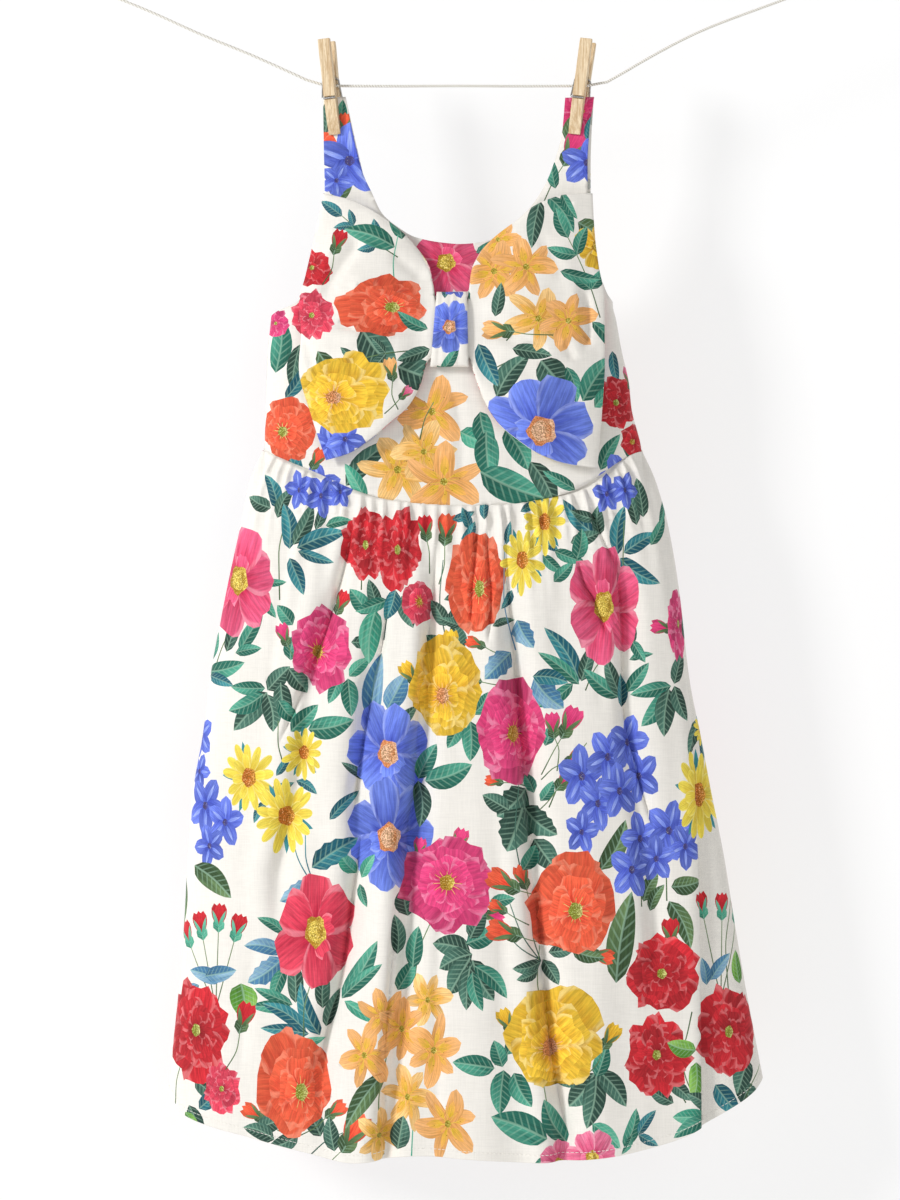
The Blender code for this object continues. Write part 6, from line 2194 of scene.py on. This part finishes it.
def skirt_outline(side):
    """Round the skirt panel's flat cloth, with the edge that is tucked in at the waist."""
    across = spaced(221)
    top = waist_height(across, side) + TUCK
    foot = foot_height(across, side)
    rise = np.linspace(0, 1, 150)
    ends = {}
    for k in (0, -1):
        height = top[k] + (foot[k] - top[k]) * rise
        ends[k] = np.stack([np.full(len(rise), across[k]), height], -1)
    loop = np.concatenate([
        np.stack([across, foot], -1)[:-1],
        ends[-1][::-1][:-1],
        np.stack([across, top], -1)[::-1][:-1],
        ends[0][:-1],
    ])
    return flat_at(loop[:, 0], loop[:, 1], SKIRT_SIDES, side)


# Rows of points: distances below the waist, where they lie closer down to a depth, then distances from
# the hem's stitching, from the pleat's edge and from a sharp crease
WAIST_ROWS = (-2.2, -1.0, -0.2, 0.8, 2.0, 3.6, 5.6, 8, 11, 14.5, 18.5, 23, 28, 33.5, 39.5, 46, 53, 60)
WAIST_CLOSE = 30
HEM_ROWS = (-1.3, 0.0, 1.3)
PLEAT_ROWS = (-1.4, 0.3, 1.2, 2.2, 3.4)
CREASE_ROWS = (-3.2, -1.7, -0.8, 0.0, 0.8, 1.8, 4.2)


def skirt_points(outline, side):
    """A finer net by the waist, where the gathers are, and rows along stitching, pleat and creases."""
    points = spread(outline, NET, NET * 1.1, 1.5)
    below = waist_height(from_flat(points, SKIRT_SIDES, side), side) - points[:, 1]
    rows = [points[below > NET_WAIST_DEEP]]
    for deep in WAIST_ROWS:
        size = NET_WAIST if deep < WAIST_CLOSE else NET_WAIST * 1.35
        spots = spaced(int(400 / size))
        rows.append(flat_at(spots, waist_height(spots, side) - deep, SKIRT_SIDES, side))
    for away in HEM_ROWS:
        spots = spaced(170)
        rows.append(flat_at(spots, foot_height(spots, side) + (HEM_STITCH + away), SKIRT_SIDES, side))
    if side < 0:
        for away in PLEAT_ROWS:
            height = np.arange(-790.0, -350.0, 3.2)
            x = read(PLEAT_EDGE, height, 0, key=1) + away
            rows.append(to_flat(x, height, SKIRT_SIDES, side))
        for crease in SHARP_CREASES:
            route = every(crease[3:], 2.2)
            for away in CREASE_ROWS:
                rows.append(to_flat(route[:, 0] + away, route[:, 1], SKIRT_SIDES, side))
    return kept_inside(np.concatenate(rows), outline, 0.5)


def pleat_cover(design):
    """Plain cloth over the print beyond the pleat's edge, because the print is cut off there."""
    height = np.linspace(-430.0, -830.0, 60)
    known = np.clip(height, PLEAT_EDGE[-1][1], None)
    near = to_flat(read(PLEAT_EDGE, known, 0, key=1) + 0.8, known, SKIRT_SIDES, -1)
    near[:, 1] = height
    far = near + (120.0, 0.0)
    outline = np.concatenate([near, far[::-1]])
    design.shape(outline, (0, 0), (1, 0), 1.0, [IVORY] * 3)


# A stitch: its length, the gap to the next, its width, then shares of its length and how far its thread
# stands out of the cloth at each
STITCH = 2.3
STITCH_GAP = 0.9
STITCH_WIDTH = 0.42
STITCH_STOPS = (0.0, 0.25, 0.5, 0.75, 1.0)
STITCH_LIFTS = (-0.12, 0.2, 0.28, 0.2, -0.12)
STITCH_SIDES = 6


def stitch_row(name, spots, surface, finish):
    """Short raised stitches along a line of flat points."""
    route = every(spots, 0.4)
    lengths = np.concatenate([[0.0], np.cumsum(np.linalg.norm(np.diff(route, axis=0), axis=1))])
    starts = np.arange(0.5, lengths[-1] - STITCH, STITCH + STITCH_GAP)
    at = np.concatenate([[s + STITCH * share for share in STITCH_STOPS] for s in starts])
    flat = np.stack([np.interp(at, lengths, route[:, k]) for k in (0, 1)], -1)
    place = surface(flat)
    ahead = surface(flat + (0.6, 0.0)) - place
    up = surface(flat + (0.0, 0.6)) - place
    out = np.cross(ahead, up)
    out /= np.linalg.norm(out, axis=1, keepdims=True)
    up /= np.linalg.norm(up, axis=1, keepdims=True)
    lift = np.tile(STITCH_LIFTS, len(starts))[:, None]
    radius = STITCH_WIDTH / 2
    sides = STITCH_SIDES
    places, faces = [], []
    for k in range(len(place)):
        for j in range(sides):
            turn = 2 * math.pi * j / sides
            off = out[k] * (lift[k] + radius * math.sin(turn))
            places.append(place[k] + off + up[k] * radius * math.cos(turn))
    stops = len(STITCH_STOPS)
    for s in range(len(starts)):
        first = s * stops * sides
        for r in range(stops - 1):
            for j in range(sides):
                a, b = first + r * sides, first + (r + 1) * sides
                faces.append([a + j, b + j, b + (j + 1) % sides, a + (j + 1) % sides])
        faces.append([first + j for j in range(sides)])
        faces.append([first + (stops - 1) * sides + j for j in reversed(range(sides))])
    return mesh_object(name, places, faces, [finish])


# Heights and distances inward of the rows of the hem's turned-up edge
HEM_TURN = ((0.0, 0.0), (-0.35, 0.35), (-0.1, 0.85), (1.2, 1.0), (3.6, 1.0), (HEM_FOLD, 0.9))


def make_hem(side, finish):
    """The turned-up edge inside the hem."""
    across = spaced(221)
    foot = foot_height(across, side)
    rows = []
    for rise, inset in HEM_TURN:
        place = skirt_point(flat_at(across, foot + max(rise, 0.0), SKIRT_SIDES, side), side, inset)
        place[:, 2] += min(rise, 0.0)
        rows.append(place)
    count = len(across)
    faces = []
    for r in range(len(rows) - 1):
        for c in range(count - 1):
            face = [r * count + c, (r + 1) * count + c, (r + 1) * count + c + 1, r * count + c + 1]
            faces.append(face if side < 0 else face[::-1])
    return mesh_object(f"hem_{front_or_back(side)}", np.concatenate(rows), faces, [finish])


SKIRT_SCATTER = 72.0


def make_skirt(side, finishes, thread):
    """The panel, its turned-up hem and its stitching."""
    outline = skirt_outline(side)
    points = skirt_points(outline, side)
    design = Print(60 + side)
    surface = lambda flat: skirt_point(flat, side)
    if side < 0:
        place = lambda x, z: to_flat(np.array(x), np.array(z), SKIRT_SIDES, -1)
        draw_photo(design, SKIRT_PRINT, place, True)
        pleat_cover(design)
        draw_photo(design, PLEAT_PRINT, place, True)
    else:
        scatter(design, outline, SKIRT_SCATTER)
    where = front_or_back(side)
    made = panel(f"{where}_skirt", outline, points, design, surface, finishes[:1], side > 0)
    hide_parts(f"skirt_{where}")
    across = spaced(120, 0.97)
    spots = flat_at(across, foot_height(across, side) + HEM_STITCH, SKIRT_SIDES, side)
    stitches = stitch_row(f"{where}_skirt_stitches", spots, surface, thread)
    return made, make_hem(side, finishes[1]), stitches


def bow_outline(edges):
    knot = [edges["top"][-1], edges["bottom"][-1]]
    parts = [edges["outer"][::-1], edges["top"], knot, edges["bottom"][::-1]]
    return np.concatenate([every(part, EDGE_NET)[:-1] for part in parts])


def inner_rows(outline, steps):
    """Rows of points at small distances inside an outline, for a rounded edge."""
    way = np.roll(outline, -1, 0) - np.roll(outline, 1, 0)
    inward = np.stack([-way[:, 1], way[:, 0]], -1)
    inward /= np.maximum(np.linalg.norm(way, axis=1, keepdims=True), 1e-6)
    if signed_area(outline) < 0:
        inward *= -1
    points = np.concatenate([outline + inward * step for step in steps])
    return kept_inside(points, outline, min(steps) * 0.8)


# A loop's net, rows of points beside its fold, the width that those fill, and rows inside its edges
BOW_NET = 2.7
FOLD_ROWS = (0.35, 0.9, 1.8, 3.0, 4.4)
FOLD_WIDTH = 5.4
BOW_EDGE_ROWS = (0.8, 1.8)
BOW_SCATTER = 64.0


def make_bow(name, edges, table, rows, seed, finishes):
    """One loop: a printed front and back layer, joined round their edges."""
    outline = bow_outline(edges)

    def off_fold(points):
        fold_x = read(edges["outer"], points[:, 1], 0, key=1)
        return points[np.abs(points[:, 0] - fold_x) > FOLD_WIDTH]

    fold = every(edges["outer"], EDGE_NET)
    way = np.sign(edges["top"][-1][0] - fold[0][0])
    close = np.concatenate([fold + (way * step, 0.0) for step in FOLD_ROWS])
    points = np.concatenate([
        off_fold(spread(outline, BOW_NET, BOW_NET, 1.2)),
        kept_inside(close, outline, 0.3),
        off_fold(inner_rows(outline, BOW_EDGE_ROWS)),
    ])
    design = Print(seed)
    draw_photo(design, rows, lambda x, z: (x, z))
    surface = lambda flat: bow_point(flat, edges, table, True)
    front = panel(name + "_face", outline, points, design, surface, finishes)
    behind = Print(seed + 1)
    scatter(behind, outline, BOW_SCATTER)
    surface = lambda flat: bow_point(flat, edges, table, False)
    back = panel(name + "_back", outline, points[::2], behind, surface, finishes, True)
    return thicken(weld([front, back], name, 0.05), BOW_THICK)


def make_knot(finishes):
    """The band round the bow's middle. Its ends meet behind it."""
    half = -KNOT_LENGTHS[0] - 0.05
    corners = ((-KNOT_WIDE, -half), (KNOT_WIDE, -half), (KNOT_WIDE, half), (-KNOT_WIDE, half))
    sides = []
    for (x, z), (next_x, next_z), count in zip(corners, corners[1:] + corners[:1], (14, 80, 14, 80)):
        side = [np.linspace(x, next_x, count + 1), np.linspace(z, next_z, count + 1)]
        sides.append(np.stack(side, -1)[:-1])
    outline = np.concatenate(sides)
    points = spread(outline, 1.3, 1.6, 0.7, 0.1)
    design = Print(90)
    for row in KNOT_PRINT:
        draw(design, row, (row[1], row[2]), row[3])
    made = panel("tied_knot", outline, points, design, knot_point, finishes)
    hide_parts("bow_knot")
    return thicken(made, BOW_THICK)


# Stage: half its width, its wall's place and top, its floor's front, back and height, in millimetres
STAGE_HALF = 4000
STAGE_WALL = 80
STAGE_TOP = 2600
STAGE_FRONT = -6000
STAGE_BACK = 3000
STAGE_FLOOR = -1300
# Name, place, aim, size in metres and power of each lamp
LIGHTS = (
    ("key", (-4.1, -3.0, 1.5), (0.0, 0.0, -0.4), (0.9, 1.2), 196.0),
    ("fill", (1.2, -2.9, 0.6), (0.0, 0.0, -0.4), (1.8, 1.8), 13.0),
)


def stage_plane(name, near, far):
    """A plane from a near (y, z) to a far (y, z), across the whole stage."""
    corners = [(-STAGE_HALF, *near), (STAGE_HALF, *near), (STAGE_HALF, *far), (-STAGE_HALF, *far)]
    return mesh_object(name, corners, [[0, 1, 2, 3]], [studio_wall(f"{name}_paint")], False)


def make_stage():
    wall = stage_plane("wall", (STAGE_WALL, STAGE_FLOOR), (STAGE_WALL, STAGE_TOP))
    floor = stage_plane("floor", (STAGE_FRONT, STAGE_FLOOR), (STAGE_BACK, STAGE_FLOOR))
    world = bpy.data.worlds.new("studio")
    world.use_nodes = True
    background = world.node_tree.nodes["Background"]
    background.inputs["Color"].default_value = (1.0, 1.0, 1.0, 1.0)
    background.inputs["Strength"].default_value = WORLD_LIGHT
    bpy.context.scene.world = world
    for name, place, aim, size, power in LIGHTS:
        data = bpy.data.lights.new(name, "AREA")
        data.shape = "RECTANGLE"
        data.size, data.size_y = size
        data.energy = power
        made = place_in_scene(name, data)
        made.location = place
        made.rotation_euler = (Vector(aim) - Vector(place)).to_track_quat("-Z", "Y").to_euler()


def declare(made, slot, **facts):
    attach(made, "root")


# Flat width and height of each cut piece that shows, and the area of its outline, in metres
BODICE_FLAT = {"flat": (0.32, 0.33), "area": 0.05}
SKIRT_FLAT = {"flat": (0.5, 0.52)}
LOOP_FLAT = {"flat": (0.23, 0.2), "area": 0.034}
BAND_FLAT = {"flat": (0.028, 0.13)}


def build():
    make_camera()
    bpy.context.scene.view_settings.view_transform = "Standard"
    cloth = [printed_cotton("printed_cotton_face", False), printed_cotton("printed_cotton_reverse", True)]
    line, wood = cotton_line("line_cotton"), birch("peg_birch")
    steel, thread = spring_wire("spring_wire"), sewing_thread("sewing_thread")
    for made in make_line(line):
        declare(made, "line_cord")
    for side in PEGS:
        for front, where in ((-1, "front"), (1, "rear")):
            declare(make_leg(side, front, where, wood), "peg_wood")
        placed = [tuple(peg_matrix(side) @ Vector(p)) for p in wire_route()]
        made = curve_object(f"wire_{side}", placed, WIRE, steel)
        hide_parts(f"spring_{side}")
        declare(made, "spring_steel")
    for side in (-1, 1):
        made = make_bodice(side, cloth)
        declare(made, "printed_cotton", held="hung", rests_on=["clothesline"], **BODICE_FLAT)
    for side in (-1, 1):
        made, hem, stitches = make_skirt(side, cloth, thread)
        declare(hem, "printed_cotton")
        declare(stitches, "printed_cotton")
        seam = {"held": "gathered", "rests_on": [f"{front_or_back(side)}_bodice"]}
        declare(made, "printed_cotton", with_pieces=[hem, stitches], **seam, **SKIRT_FLAT)
    folded = {"held": "folded", "rests_on": ["front_bodice"]}
    for where, edges, table, rows, seed in (
        ("left", BOW_LEFT, BOW_CREASES_LEFT, BOW_LEFT_PRINT, 70),
        ("right", BOW_RIGHT, BOW_CREASES_RIGHT, BOW_RIGHT_PRINT, 80),
    ):
        made = make_bow(f"{where}_loop", edges, table, rows, seed, cloth)
        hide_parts(f"bow_{where}")
        declare(made, "printed_cotton", **folded, **LOOP_FLAT)
    declare(make_knot(cloth), "printed_cotton", **folded, **BAND_FLAT)
    make_stage()


build()
